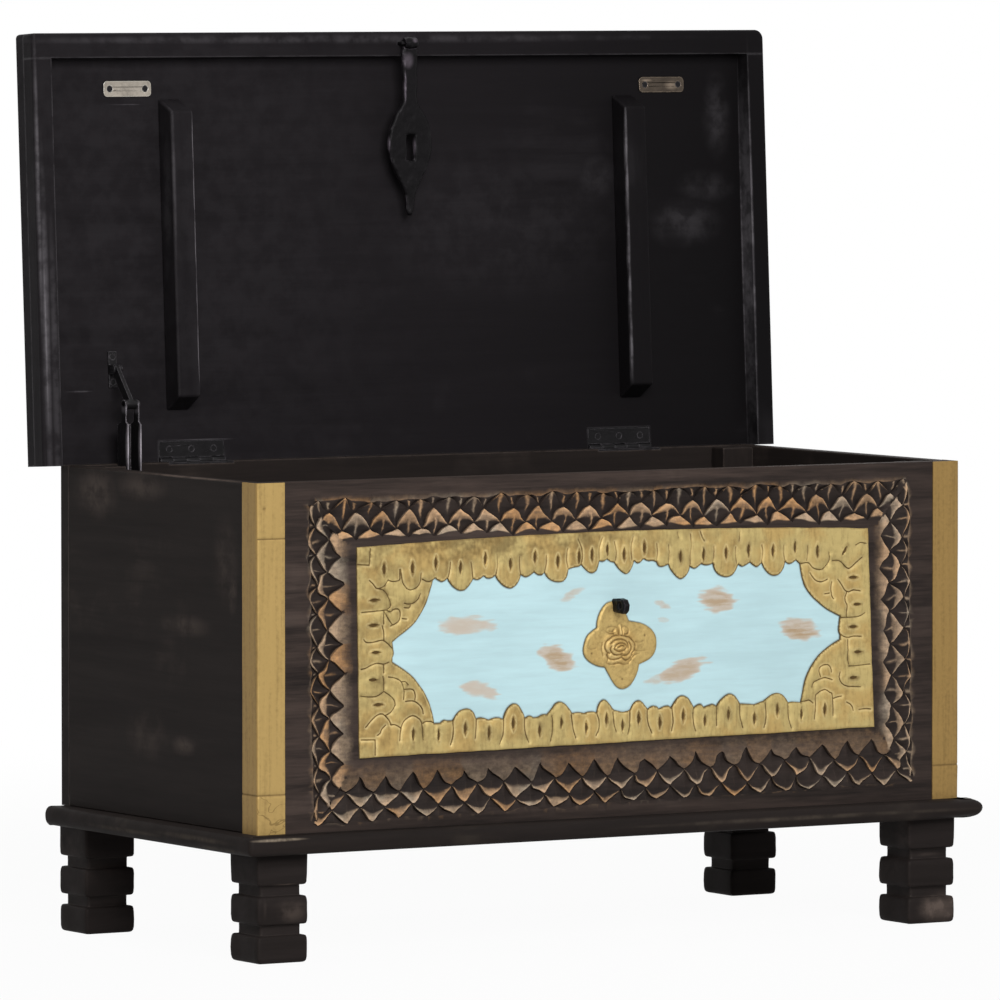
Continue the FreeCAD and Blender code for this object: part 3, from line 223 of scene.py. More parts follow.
ROW_LINES = (
    ((-180, 229), (-178.5, 236), (-178, 242)),
    ((-154, 227.5), (-155, 236), (-156, 241)),
    ((-129, 230), (-127.5, 238), (-128, 247)),
    ((-103, 229.5), (-104, 237), (-104, 244)),
    ((-76.5, 231), (-75, 238), (-75, 245)),
    ((-51.5, 233), (-53, 240), (-52, 250)),
    ((-37, 236.5), (-36, 243), (-37, 251), (-40.5, 259)),
    ((-17.5, 239.5), (-17.5, 249), (-14.5, 259)),
    ((0, 237.5), (1, 245), (-1, 255)),
    ((18, 238), (17, 246), (17.5, 252), (19.5, 259)),
    ((45, 237), (46, 244), (45, 252)),
    ((58, 234), (59, 242), (58, 250)),
    ((82, 232), (82, 240), (83, 250), (82, 260)),
    ((93, 262), (95, 256.5), (97.5, 253)),
    ((68, 262), (69, 257)),
    ((107, 233.5), (108, 241), (108, 247)),
    ((133, 231), (132, 240), (132, 246)),
    ((137, 260), (136, 252)),
    ((161, 232), (162, 240), (161, 247)),
    ((186.5, 232.5), (185, 240), (185, 246)),
    ((211, 231), (212, 238), (212, 245)),
    ((-175.5, 95), (-175, 88), (-176, 80), (-178, 74)),
    ((-150.5, 95.5), (-150.5, 88), (-151.5, 79)),
    ((-121, 94), (-121, 88), (-122, 80), (-125, 73)),
    ((-98.3, 94), (-98.3, 88), (-97, 80), (-94, 73.5)),
    ((-69, 96), (-68, 90), (-69, 80), (-70.5, 73)),
    ((-48, 96.5), (-47, 90), (-45.5, 82), (-43, 75)),
    ((-20, 96), (-18, 90), (-18, 83), (-21, 76)),
    ((-2.5, 97), (-2, 92), (-1, 85), (1, 79)),
    ((16, 97), (16, 90), (15.5, 83), (13.5, 76)),
    ((35, 97), (35, 90), (37, 82), (40, 76)),
    ((62, 97), (63, 90), (63, 84), (61.5, 77)),
    ((85.5, 96), (85, 90), (86, 82), (88, 76)),
    ((111.5, 96.5), (111, 88), (111, 80)),
    ((137, 98), (137, 88), (138.5, 82), (140, 77)),
    ((165, 99), (166, 88), (165, 80), (163.5, 76)),
    ((190.5, 97), (191, 86), (192.5, 79), (194.5, 74)),
)
# Middles of the slits in the petals: the last one of the top row is turned, and those at the ends are shorter
TURNED_SLIT, END_SLIT_SHARE = -0.6, 0.85
TOP_EYES = (
    (-249, 238), (-219, 238), (-194, 242), (-167.5, 236), (-141, 243.5), (-114, 239), (-87.5, 244),
    (-63, 239), (-40, 243), (-26, 244), (-9, 248.5), (9, 243.5), (31, 249), (71, 239), (96, 240),
    (121, 241), (146, 243), (173, 241), (197.5, 244), (222.5, 240), (253, 239),
)
BOTTOM_EYES = (
    (-218, 85), (-191, 83.5), (-162.5, 88.5), (-137, 83.5), (-111, 91), (-82.5, 83.5), (-59, 90),
    (-32, 84), (-10, 91), (7.5, 84), (25, 90), (48, 86), (74, 91), (98, 85), (124, 90), (152.5, 85),
    (178, 92), (205, 87), (231, 90),
)
LEFT_EYES = ((-259, 210), (-260, 187), (-257.5, 162), (-261, 137), (-255, 114))
RIGHT_EYES = ((262.5, 213.5), (267, 188), (262.5, 167), (268, 143), (263, 119))
# Petals of the medallion, clockwise: each runs on from the end of the one before it
MEDALLION = (
    ((-19.5, 182), (-17.5, 188), (-14, 194), (-9, 198.5), (-3, 200), (4, 198), (10, 190.5), (15, 181)),
    ((21, 180), (28, 178.5), (34, 176), (40, 172), (44, 166), (45, 159), (43, 151), (37, 145), (26, 140.5)),
    ((24.5, 134), (21.5, 128), (17, 122), (12, 119), (7, 118.3), (2, 120.5), (-3, 126), (-11, 139)),
    ((-20, 141), (-28, 145), (-33, 150), (-34.5, 156), (-33, 163), (-30, 169), (-25, 173), (-20, 176)),
)
# Middle of its rose, and the pressed lines
ROSE_HEART = (4, 157.5)
ROSE_LINES = (
    ((-3, 156), (-1, 159), (3, 161), (8, 160.5), (10.5, 157.5), (8, 154.5), (2, 153.5), (-3, 156)),
    ((1, 157), (5, 158.8), (8, 158)),
    ((-6, 161), (-2, 164), (4, 164.8), (9, 163.5), (12, 160.5), (12.5, 157)),
    ((-5.5, 158.5), (-6.5, 155), (-3, 151), (2, 150.3), (6, 151.5)),
    ((4, 150.5), (10, 149.5), (15, 152.5), (16, 157.5), (13.5, 162)),
    ((-7, 165.5), (-3, 168), (3, 168.3), (9, 167.5), (15, 166)),
    ((-7, 165.5), (-10.5, 163), (-12, 158), (-10, 153.5), (-7, 152)),
    ((-9.5, 152.5), (-8, 147.5), (-3, 146), (3, 147), (6, 148.5)),
    ((6, 147.5), (10, 145), (14.5, 146), (17.5, 150)),
    ((17, 151), (20.5, 155), (20, 160.5), (15.5, 165.5)),
    ((-10, 142.5), (-4, 141.5), (3, 142.5), (9, 141), (14, 142)),
    ((-10, 142.5), (-9, 147), (-10.5, 151)),
    ((14, 142), (17, 146), (20.5, 149.5), (26, 151)),
    ((-14.5, 162), (-15.5, 156), (-14, 150)),
    ((21, 162), (26, 161), (31, 163)),
    ((20.5, 154), (26, 153), (32, 153.5)),
    ((-22, 157), (-27, 156.5), (-30, 157.5)),
    ((-2, 170), (-7, 170.5), (-10.5, 172.5), (-8.5, 176), (-3, 176.5), (2.5, 175.5)),
    ((-7, 172.5), (-4, 172), (-2, 173.5)),
    ((2.5, 169), (2.5, 178)),
    ((6.5, 169), (6.5, 178)),
    ((6.5, 176), (10, 176.5), (13.5, 174), (13, 170), (9, 169)),
)
# Nail heads in the medallion
NAIL_MARKS = ((-26.3, 152.5), (31.5, 167.5), (7, 127.5))
# Worn patches of the paint: middle, width, height, slant, strength and share of brown
WORN_PATCHES = (
    (-162, 183.5, 66, 19, -0.03, 0.75, 0.15),
    (-62, 149, 40, 22, -0.32, 1.0, 0.8),
    (-147, 123.5, 42, 17, -0.2, 0.75, 0.1),
    (-46, 208.5, 30, 10, 0.42, 0.55, 0.3),
    (52, 195, 20, 8, -0.3, 0.55, 0.3),
    (53, 181, 14, 7, -0.1, 0.45, 0.2),
    (113, 197, 42, 24, -0.08, 1.0, 0.75),
    (203, 167, 46, 21, -0.15, 1.0, 0.9),
    (74, 133, 54, 20, 0.25, 0.95, 0.55),
    (48, 126, 34, 10, 0.2, 0.5, 0.3),
)


# Settings that a user would change


def tint(name, description, default):
    """Colour setting, written as it is seen."""
    return bpy.props.FloatVectorProperty(
        name=name, description=description, default=default, subtype="COLOR_GAMMA", size=3, min=0, max=1
    )


def length(name, description, default):
    """Length setting in metres."""
    return bpy.props.FloatProperty(
        name=name, description=description, default=default, subtype="DISTANCE", unit="LENGTH", min=0
    )


def number(name, description, default):
    """Plain number setting."""
    return bpy.props.FloatProperty(name=name, description=description, default=default, min=0)


class ChestFinishes(bpy.types.PropertyGroup):
    """Colours of the wood, the paint and the metals."""

    stain: tint("Stain", "Dark stain of the carcase", (0.166, 0.145, 0.137))
    front_stain: tint("Front stain", "Stain of the front board, a little paler", (0.29, 0.245, 0.225))
    # Also the colour of the painted shade on the carved front
    stain_deep: tint("Deep stain", "Stain in the pores and hollows", (0.13, 0.115, 0.11))
    stain_worn: tint("Worn stain", "Stain rubbed thin on edges and faces", (0.37, 0.325, 0.3))
    foot_stain: tint("Foot stain", "Darker stain of the feet", (0.17, 0.15, 0.145))
    # Also the colour of the painted highlights and the painted light on the lid
    lid_worn_and_highlight: tint("Worn lid", "Lid stain where it is rubbed", (0.42, 0.405, 0.42))
    lid_stain: tint("Lid stain", "Black stain inside the lid", (0.118, 0.108, 0.116))
    bare: tint("Bare wood", "Wood laid bare on the carving", (0.68, 0.52, 0.36))
    bare_grey: tint("Grey wood", "Bare wood that has gone grey", (0.6, 0.545, 0.475))
    paint: tint("Paint", "Pale blue of the panel", (0.745, 0.865, 0.885))
    primer: tint("Primer", "Chalky ground under the worn paint", (0.785, 0.735, 0.68))
    # Colour of the painted shadow that the brass frame and the medallion cast on the paint
    grime: tint("Brass shadow", "Dark line where the brass meets the paint", (0.3, 0.31, 0.29))
    under_wood: tint("Wood under paint", "Wood where the ground is worn too", (0.67, 0.53, 0.345))
    brass: tint("Brass", "Brass sheet", (0.735, 0.655, 0.435))
    # Colour of the painted highlights beside the lines of the brass
    brass_highlight: tint("Light brass", "Brass highlighted beside its lines", (0.86, 0.78, 0.56))
    brass_warm: tint("Warm brass", "Brass where it has gone reddish", (0.705, 0.575, 0.345))
    # Also the colour of the painted shade on the corner strips and of the painted shadow along the brass
    # edges
    brass_dark: tint("Dark brass", "Brass in lines and stains", (0.34, 0.26, 0.145))
    iron: tint("Iron", "Forged iron of the hasp", (0.085, 0.078, 0.085))
    plated: tint("Plating", "Plated steel of the strike plates", (0.68, 0.645, 0.6))
    bronze: tint("Bronze", "Right strike plate, gone brown", (0.33, 0.295, 0.26))
    plastic: tint("Plastic", "Brown plastic of the catches", (0.16, 0.12, 0.1))
    magnet: tint("Magnet", "Magnets of the catches", (0.3, 0.3, 0.31))
    steel: tint("Steel", "Dark steel of hinges and stay", (0.13, 0.125, 0.13))


class ChestCarving(bpy.types.PropertyGroup):
    """Sizes of the chip-carved band."""

    pitch: length("Pitch", "Width of one scale", 0.028)
    depth: length("Depth", "Depth of a chip at its stabbed edge", 0.0042)
    ridge: length("Ridge depth", "Depth of the ridge where a scale starts", 0.002)
    jitter: length("Jitter", "How far the cuts stray", 0.002)
    bulge: number("Bulge", "Roundness of the scales", 0.4)
    uneven: number("Uneven", "How much the shares of the chips differ", 0.14)


class ChestBrass(bpy.types.PropertyGroup):
    """Sizes of the embossed brass."""

    sheet: length("Sheet", "Thickness of the brass sheet", 0.0012)
    pillow: length("Pillow", "Rise of a petal above its outline", 0.0008)
    line: length("Line", "Depth of an engraved line", 0.0009)
    eye_long: length("Eye length", "Length of a slit in a petal", 0.014)
    eye_wide: length("Eye width", "Width of a slit in a petal", 0.0034)
    rose: length("Rose", "Height of the rose on the medallion", 0.0035)


class ChestStage(bpy.types.PropertyGroup):
    """Camera and light."""

    lens: bpy.props.FloatProperty(
        name="Lens", description="Focal length in millimetres", default=347.9, min=1
    )
    place: bpy.props.FloatVectorProperty(
        name="Place",
        description="Place of the camera",
        default=(-4.7087, -7.7793, 0.9158),
        subtype="TRANSLATION",
        unit="LENGTH",
    )
    turn: bpy.props.FloatProperty(
        name="Turn",
        description="Turn of the camera to the right",
        default=math.radians(31.1214),
        subtype="ANGLE",
    )
    dip: bpy.props.FloatProperty(
        name="Dip", description="Dip of the camera", default=math.radians(3.2281), subtype="ANGLE"
    )
    key: number("Key", "Power of the key light in watts", 205)
    top: number("Top", "Power of the top light in watts", 25)
    floor: tint("Floor", "Pale floor under the chest", (0.77, 0.77, 0.77))
    ambient: number("Ambient", "Strength of the light from all round", 0.16)


# Shader sums


class Wire:
    """A socket of a material that takes part in plain sums."""

    def __init__(self, finish, socket):
        self.finish = finish
        self.socket = socket

    def sum(self, operation, *values):
        """Math node on some values."""
        return self.finish.node("ShaderNodeMath", {"operation": operation}, values)

    def __add__(self, other):
        return self.sum("ADD", self, other)

    def __radd__(self, other):
        return self.sum("ADD", other, self)

    def __sub__(self, other):
        return self.sum("SUBTRACT", self, other)

    def __rsub__(self, other):
        return self.sum("SUBTRACT", other, self)

    def __mul__(self, other):
        return self.sum("MULTIPLY", self, other)

    def __rmul__(self, other):
        return self.sum("MULTIPLY", other, self)

    def most(self, other):
        """The larger of two values."""
        return self.sum("MAXIMUM", self, other)

    def least(self, other):
        """The smaller of two values."""
        return self.sum("MINIMUM", self, other)

    def ease(self, low, high):
        """Share from 0 to 1, eased, as the value goes from low to high."""
        return self.finish.node(
            "ShaderNodeMapRange",
            {"interpolation_type": "SMOOTHSTEP"},
            {"Value": self, "From Min": low, "From Max": high},
        )


class Finish:
    """A material while it is being put together."""

    def __init__(self, name, owner=None):
        self.material = owner or bpy.data.materials.new(name)
        self.material.use_nodes = True
        self.tree = self.material.node_tree
        self.tree.nodes.clear()

    def node(self, kind, settings=None, inputs=(), output=0):
        """Any node: its settings first, then the values or links of its sockets."""
        made = self.tree.nodes.new(kind)
        for key, value in (settings or {}).items():
            setattr(made, key, value)
        pairs = inputs.items() if isinstance(inputs, dict) else enumerate(inputs)
        for key, value in pairs:
            if isinstance(value, Wire):
                self.tree.links.new(value.socket, made.inputs[key])
            else:
                made.inputs[key].default_value = value
        return Wire(self, made.outputs[output]) if made.outputs else None

    def place(self, stretch=(1, 1, 1)):
        """Place on the piece itself, stretched along its axes."""
        spot = self.node("ShaderNodeTexCoord", output="Object")
        return self.node("ShaderNodeVectorMath", {"operation": "MULTIPLY"}, (spot, stretch))

    def noise(self, place, scale, detail=4, rough=0.55, twist=0):
        """Noise texture as a value."""
        return self.node(
            "ShaderNodeTexNoise",
            {},
            {"Vector": place, "Scale": scale, "Detail": detail, "Roughness": rough, "Distortion": twist},
        )

    def mix(self, factor, first, second):
        """Colour between two colours."""
        return self.node("ShaderNodeMix", {"data_type": "RGBA"}, {0: factor, 6: first, 7: second}, 2)

    def attribute(self, name):
        """Value stored on the mesh."""
        return self.node("ShaderNodeAttribute", {"attribute_name": name}, output="Fac")

    def spot(self, centre, size):
        """Share from 0 outside a soft spot to 1 in its middle."""
        away = self.node("ShaderNodeVectorMath", {"operation": "SUBTRACT"}, (self.place(), centre))
        away = self.node("ShaderNodeVectorMath", {"operation": "DIVIDE"}, (away, size))
        far = self.node("ShaderNodeVectorMath", {"operation": "LENGTH"}, (away,), "Value")
        return 1 - far.ease(0.1, 1)

    def edges(self, radius):
        """Share from 0 on flat faces to 1 on arrises."""
        soft = self.node("ShaderNodeBevel", {"samples": 4}, {"Radius": radius})
        true = self.node("ShaderNodeNewGeometry", output="Normal")
        alike = self.node("ShaderNodeVectorMath", {"operation": "DOT_PRODUCT"}, (soft, true), "Value")
        return (1 - alike).ease(0.01, 0.2)

    def bump(self, height, distance, strength=1):
        """Surface normal from a height."""
        return self.node("ShaderNodeBump", {}, {"Strength": strength, "Distance": distance, "Height": height})

    def shade(self, **sockets):
        """Ends the material in a Principled shader with these sockets."""
        named = {key.replace("_", " "): value for key, value in sockets.items()}
        surface = self.node("ShaderNodeBsdfPrincipled", {}, named, "BSDF")
        self.node("ShaderNodeOutputMaterial", {}, {"Surface": surface})
        return self.material


def paintable(rgb):
    """Colour as a shader takes it."""
    return (*Color(rgb).from_srgb_to_scene_linear(), 1)


# Materials


GRAIN = {"X": (0.06, 1, 1), "Y": (1, 0.06, 1), "Z": (1, 1, 0.06)}


def stained_wood(name, along, colours, rubbing=0.3, spots=(), arris=0.45, painted_shade=()):
    """Stained wood with its grain along an axis, rubbed on arrises and in spots, some spots on the lid being
    painted highlights, and darker in spots of painted shade.
    """
    finish = Finish(name)
    deep, body, worn = (paintable(rgb) for rgb in colours)
    grain_place = finish.place(GRAIN[along])
    grain = finish.noise(grain_place, 55, 6, 0.6, 0.4)
    fine = finish.noise(grain_place, 420, 3)
    patch = finish.noise(finish.place(), 9, 4, 0.6)
    rubbed = patch.ease(0.56, 0.75) * grain.ease(0.3, 0.7) * rubbing
    mottle = finish.noise(finish.place(), 48, 6, 0.62).ease(0.38, 0.62)
    # Rubbed spots, and on the lid painted highlights
    for centre, size, share in spots:
        rub_and_highlight = finish.spot(centre, size) * (0.1 + grain.ease(0.3, 0.65) * 0.4 + mottle * 0.8)
        rubbed = rubbed.most(rub_and_highlight * share)
    edge = finish.edges(0.003) * finish.noise(finish.place(), 60).ease(0.25, 0.55)
    tone = finish.mix((grain * 0.75 + fine * 0.25).ease(0.25, 0.75), deep, body)
    painted_shade_colour = paintable(tuple(channel * 0.6 for channel in colours[0]))
    # Painted shade in spots
    for centre, size, share in painted_shade:
        tone = finish.mix(finish.spot(centre, size) * share, tone, painted_shade_colour)
    return finish.shade(
        Base_Color=finish.mix((rubbed + edge * arris).least(1), tone, worn),
        Roughness=0.62 - rubbed * 0.12 - grain * 0.18,
        Specular_IOR_Level=0.03,
        Coat_Weight=edge * 0.3,
        Coat_Roughness=0.35,
        Normal=finish.bump(grain * 0.7 + fine * 0.3, 0.0006, 0.5),
    )


def carved_wood(name, finishes):
    """Stained wood of the front, bare where the carving is worn."""
    finish = Finish(name)
    grain_place = finish.place(GRAIN["X"])
    grain = finish.noise(grain_place, 60, 6, 0.6, 0.4)
    fine = finish.noise(grain_place, 450, 3)
    patch = finish.noise(finish.place(), 14, 4, 0.6)
    blotch = finish.noise(finish.place((0.6, 1, 1)), 230, 4, 0.65)
    wear = finish.attribute("wear")
    hollow = finish.attribute("hollow")
    deep, stain, worn = (
        paintable(rgb) for rgb in (finishes.stain_deep, finishes.front_stain, finishes.stain_worn)
    )
    tone = finish.mix((grain * 0.7 + fine * 0.3).ease(0.25, 0.75), deep, stain)
    rubbed = patch.ease(0.5, 0.75) * grain.ease(0.35, 0.7) * 0.3
    tone = finish.mix(rubbed, tone, worn)
    # Towards the deep stain: painted shade in the chips and towards the right, and darker towards the bottom
    tone = finish.mix(hollow * 0.55, tone, deep)
    grey = (finish.attribute("grey").ease(0.15, 0.85) * 0.75 + patch.ease(0.45, 0.6) * 0.35).least(1)
    bare = finish.mix(grey, paintable(finishes.bare), paintable(finishes.bare_grey))
    upright = finish.noise(finish.place((1, 1, 0.15)), 420, 3, 0.6)
    bare = finish.mix((fine * 0.4 + upright * 0.6).ease(0.46, 0.62) * 0.5, bare, worn)
    pale_warm = paintable(tuple(min(1, channel * 1.28) for channel in finishes.bare))
    pale_grey = paintable(tuple(0.4 + channel * 0.62 for channel in finishes.bare))
    pale = finish.mix(grey, pale_warm, pale_grey)
    bare = finish.mix(wear.ease(0.62, 1) * (0.25 + blotch.ease(0.42, 0.62) * 0.65), bare, pale)
    share = (wear * (0.15 + blotch * 1.1 + upright * 0.5)).ease(0.15, 0.85)
    return finish.shade(
        Base_Color=finish.mix(share, tone, bare),
        Roughness=0.7 - grain * 0.15,
        Specular_IOR_Level=0.05,
        Normal=finish.bump(grain * 0.4 + fine * 0.3 + blotch * 0.5, 0.0007, 0.6),
    )


def worn_paint(name, finishes):
    """Brushed pale paint, rubbed through to its ground and the wood in patches, with a painted shadow along
    the brass.
    """
    finish = Finish(name)
    stroke = finish.noise(finish.place((0.1, 1, 1)), 170, 5, 0.6, 0.2)
    cloud = finish.noise(finish.place((0.5, 1, 1)), 16, 3)
    worn = finish.attribute("worn")
    light = tuple(min(1, channel * 1.03) for channel in finishes.paint)
    dull = tuple(channel * 0.965 for channel in finishes.paint)
    paint = finish.mix((stroke * 0.5 + cloud * 0.5).ease(0.3, 0.7), paintable(dull), paintable(light))
    ragged = finish.noise(finish.place((0.35, 1, 1)), 200, 5, 0.65, 0.3)
    brown = finish.attribute("brown") * (stroke * 0.6 + ragged * 0.4).ease(0.36, 0.58)
    ground = finish.mix(brown, paintable(finishes.primer), paintable(finishes.under_wood))
    share = (worn + (stroke - 0.5) * 0.5 + (ragged - 0.5) * 0.5).ease(0.1, 0.8) * worn.ease(0.02, 0.35)
    colour = finish.mix(share * 0.92, paint, ground)
    # Painted shadow along the brass, broken by a cloud noise
    grime = finish.attribute("grime") * cloud.ease(0.3, 0.6)
    return finish.shade(
        Base_Color=finish.mix(grime, colour, paintable(finishes.grime)),
        Roughness=0.5 + worn * 0.25,
        Specular_IOR_Level=0.1,
        Normal=finish.bump(stroke, 0.0005, 0.3),
    )


def beaten_brass(name, finishes, streak=(1, 1, 1)):
    """Brass sheet, dull and uneven, dark in its lines, with painted highlights beside them and painted shade
    along its edges and on the corner strips.
    """
    finish = Finish(name)
    stain = finish.noise(finish.place(), 26, 5, 0.6)
    speck = finish.noise(finish.place(), 240, 4, 0.65)
    brush = finish.noise(finish.place(streak), 300, 3)
    line = finish.attribute("line")
    tarnish = finish.attribute("tarnish")
    bright, warm, dark = (
        paintable(rgb) for rgb in (finishes.brass, finishes.brass_warm, finishes.brass_dark)
    )
    tone = finish.mix((stain.ease(0.42, 0.62) * 0.6).most(finish.attribute("warm")), bright, warm)
    tone = finish.mix((speck * 0.4 + brush * 0.6).ease(0.45, 0.7) * 0.34, tone, dark)
    crack = finish.noise(finish.place((0.6, 1, 1)), 70, 2, 0.5, 0.5) - 0.5
    crack = (1 - (crack * crack).ease(0.00002, 0.0003)) * finish.attribute("crack")
    # Tarnish, and on the corner strips painted shade
    tone = finish.mix((tarnish * (0.8 + speck * 0.4)).least(1), tone, dark)
    # Painted highlights beside the lines
    burnish = finish.attribute("burnish") * stain.ease(0.35, 0.6)
    tone = finish.mix(burnish, tone, paintable(finishes.brass_highlight))
    # Dark engraved lines and slits, and painted shadow along the edges of the sheet
    return finish.shade(
        Base_Color=finish.mix((line * (0.7 + speck * 0.6)).most(crack * 0.5).least(1), tone, dark),
        Metallic=0.5 - line * 0.3,
        Roughness=0.48 + stain * 0.12 + line * 0.2,
        Specular_IOR_Level=0.15,
        Normal=finish.bump(speck * 0.6 + brush * 0.4, 0.0004, 0.3),
    )


def metal(name, rgb, rough, pits, metallic=1.0, scale=260, lift=1.6, spots=()):
    """Plain metal with small pits or hammer marks, dull patches, bright worn arrises and painted highlights
    in spots.
    """
    finish = Finish(name)
    cloud = finish.noise(finish.place(), 35, 4)
    pit = finish.noise(finish.place(), scale, 5, 0.6)
    full, dull, bright = (
        paintable(tuple(min(1, channel * share) for channel in rgb)) for share in (1, 0.65, lift)
    )
    edge = finish.edges(0.0014) * pit.ease(0.3, 0.6)
    # Painted highlights in spots
    for centre, size in spots:
        edge = edge.most(finish.spot(centre, size) * (0.3 + pit) * 1.4)
    tone = finish.mix((cloud * 0.6 + pit * 0.4).ease(0.3, 0.75), full, dull)
    return finish.shade(
        Base_Color=finish.mix(edge * 0.7, tone, bright),
        Metallic=metallic,
        Roughness=rough + (cloud - 0.5) * 0.25 + (pit - 0.5) * 0.15,
        Specular_IOR_Level=0.1,
        Normal=finish.bump(pit, pits, 0.6),
    )


# Mesh work


def on_front(x, z, depth=0.0):
    """Point on the front of the chest from a place in millimetres and a depth into the board."""
    return Vector((x * MM, BOARD_LOW.y + depth * MM, BOARD_LOW.z + z * MM))


def eased(value, low, high):
    """Share from 0 to 1, eased, as a value goes from low to high."""
    share = np.clip((value - low) / (high - low), 0, 1)
    return share * share * (3 - 2 * share)


def ripple(points, scale, seed):
    """Noise between about -0.5 and 0.5 at plane points, for bumps of a size of one over scale."""
    return np.array([noise.noise(Vector((x * scale, z * scale, seed))) for x, z in points])


def spaced(points, step, closed=False):
    """Points spaced evenly along a line of points."""
    line = np.array(points, float)
    if closed:
        line = np.vstack([line, line[:1]])
    spans = np.hypot(*np.diff(line, axis=0).T)
    spots = []
    for start, end, span in zip(line[:-1], line[1:], spans):
        count = max(1, round(span / step))
        spots += [start + (end - start) * i / count for i in range(count)]
    if not closed:
        spots.append(line[-1])
    return np.array(spots)


def flowing(points, step):
    """Smooth line through a few places."""
    line = np.array(points, float)
    ends = np.vstack([2 * line[0] - line[1], line, 2 * line[-1] - line[-2]])
    spots = []
    for a, b, c, d in zip(ends[:-3], ends[1:-2], ends[2:-1], ends[3:]):
        count = max(1, round(np.hypot(*(c - b)) / step))
        t = np.arange(count)[:, None] / count
        square, cube = 2 * a - 5 * b + 4 * c - d, 3 * b - a - 3 * c + d
        spots.append(b + (c - a) * t / 2 + square * t**2 / 2 + cube * t**3 / 2)
    return np.vstack([*spots, line[-1:]])


def drawn(arcs, step):
    """Loop of smooth arcs that meet in cusps, each from the end of the arc before it."""
    before = (arcs[-1], *arcs[:-1])
    return np.vstack([flowing((last[-1], *arc), step)[:-1] for last, arc in zip(before, arcs)])


def ringed(loop):
    """Loop as a line that ends where it starts."""
    return np.vstack([loop, loop[:1]])


def beside(line, gaps):
    """Points beside a line, at some distances from it."""
    way = np.gradient(line, axis=0)
    way = way / np.maximum(np.hypot(*way.T), 1e-9)[:, None]
    return np.vstack([line + gap * way[:, ::-1] * (-1, 1) for gap in gaps])


def bowed(start, middle, end, count=12):
    """Points on a bow through three points."""
    start, middle, end = (np.array(point, float) for point in (start, middle, end))
    share = np.linspace(0, 1, count)[:, None]
    pull = 2 * middle - (start + end) / 2
    return (1 - share) ** 2 * start + 2 * share * (1 - share) * pull + share**2 * end


def enclosed(points, spans):
    """Which points have an odd number of spans to one side of them."""
    odd = np.zeros(len(points), bool)
    for (x0, z0), (x1, z1) in spans:
        crosses = (z0 > points[:, 1]) != (z1 > points[:, 1])
        if z0 != z1:
            odd ^= crosses & (points[:, 0] < (x1 - x0) * (points[:, 1] - z0) / (z1 - z0) + x0)
    return odd


def inside(points, loops):
    """Which points lie inside an odd number of loops."""
    return enclosed(points, [span for loop in loops for span in zip(loop, np.roll(loop, -1, axis=0))])


def grid(low, high, step):
    """Points of a staggered grid between two corners."""
    columns = np.arange(low[0], high[0], step)
    rows = np.arange(low[1], high[1], step)
    x, z = np.meshgrid(columns, rows)
    x = x + (np.arange(len(rows)) % 2)[:, None] * step / 2
    return np.column_stack([x.ravel(), z.ravel()])


def rectangle(low, high, step):
    """Loop round a rectangle on the front, from two corners in metres."""
    x0, z0 = low.x / MM, (low.z - BOARD_LOW.z) / MM
    x1, z1 = high.x / MM, (high.z - BOARD_LOW.z) / MM
    return spaced(((x0, z0), (x1, z0), (x1, z1), (x0, z1)), step, closed=True)


def line_gap(points, lines):
    """Distance from each point to the nearest of some lines."""
    gap = np.full(len(points), 1e3)
    for line in lines:
        low, high = line.min(0) - 8, line.max(0) + 8
        near = np.where(((points > low) & (points < high)).all(1))[0]
        if not len(near):
            continue
        spots = points[near][:, None]
        start, along = line[:-1], np.diff(line, axis=0)
        share = ((spots - start) * along).sum(2) / np.maximum((along**2).sum(1), 1e-9)
        foot = start + along * np.clip(share, 0, 1)[..., None]
        gap[near] = np.minimum(gap[near], np.sqrt(((spots - foot) ** 2).sum(2)).min(1))
    return gap


def filling(loops, step, rim_room, lines=(), line_room=0):
    """Grid points inside loops that keep away from the rims and from some lines."""
    points = grid(loops[0].min(0), loops[0].max(0), step)
    points = points[inside(points, loops)]
    rims = [ringed(loop) for loop in loops]
    return points[(line_gap(points, rims) > rim_room) & (line_gap(points, lines) > line_room)]


def triangles(loops, lines, fill):
    """Points and triangles between loops, creased along lines, with points to fill the faces."""
    points = []
    edges = []
    for group, closed in ((loops, True), (lines, False)):
        for line in group:
            first = len(points)
            points += [Vector(point) for point in line]
            edges += [(i, i + 1) for i in range(first, len(points) - 1)]
            if closed:
                edges.append((len(points) - 1, first))
    points += [Vector(point) for point in fill]
    spots, _, faces, _, _, _ = delaunay_2d_cdt(points, edges, [], 0, 1e-4)
    spots = np.array([tuple(spot) for spot in spots])
    faces = np.array(faces)
    kept = inside(spots[faces].mean(axis=1), loops)
    return spots, faces[kept]


def rim_edges(faces):
    """Edges that only one face has."""
    count = {}
    for face in faces:
        for a, b in zip(face, np.roll(face, -1)):
            key = (min(a, b), max(a, b))
            count[key] = None if key in count else (a, b)
    return [edge for edge in count.values() if edge is not None]


def near_loop(point, loops):
    """Index of the loop that passes nearest to a point."""
    gaps = []
    for loop in loops:
        ends = np.roll(loop, -1, axis=0)
        along = ends - loop
        share = np.clip(((point - loop) * along).sum(1) / np.maximum((along**2).sum(1), 1e-9), 0, 1)
        gaps.append(np.hypot(*(loop + along * share[:, None] - point).T).min())
    return int(np.argmin(gaps))


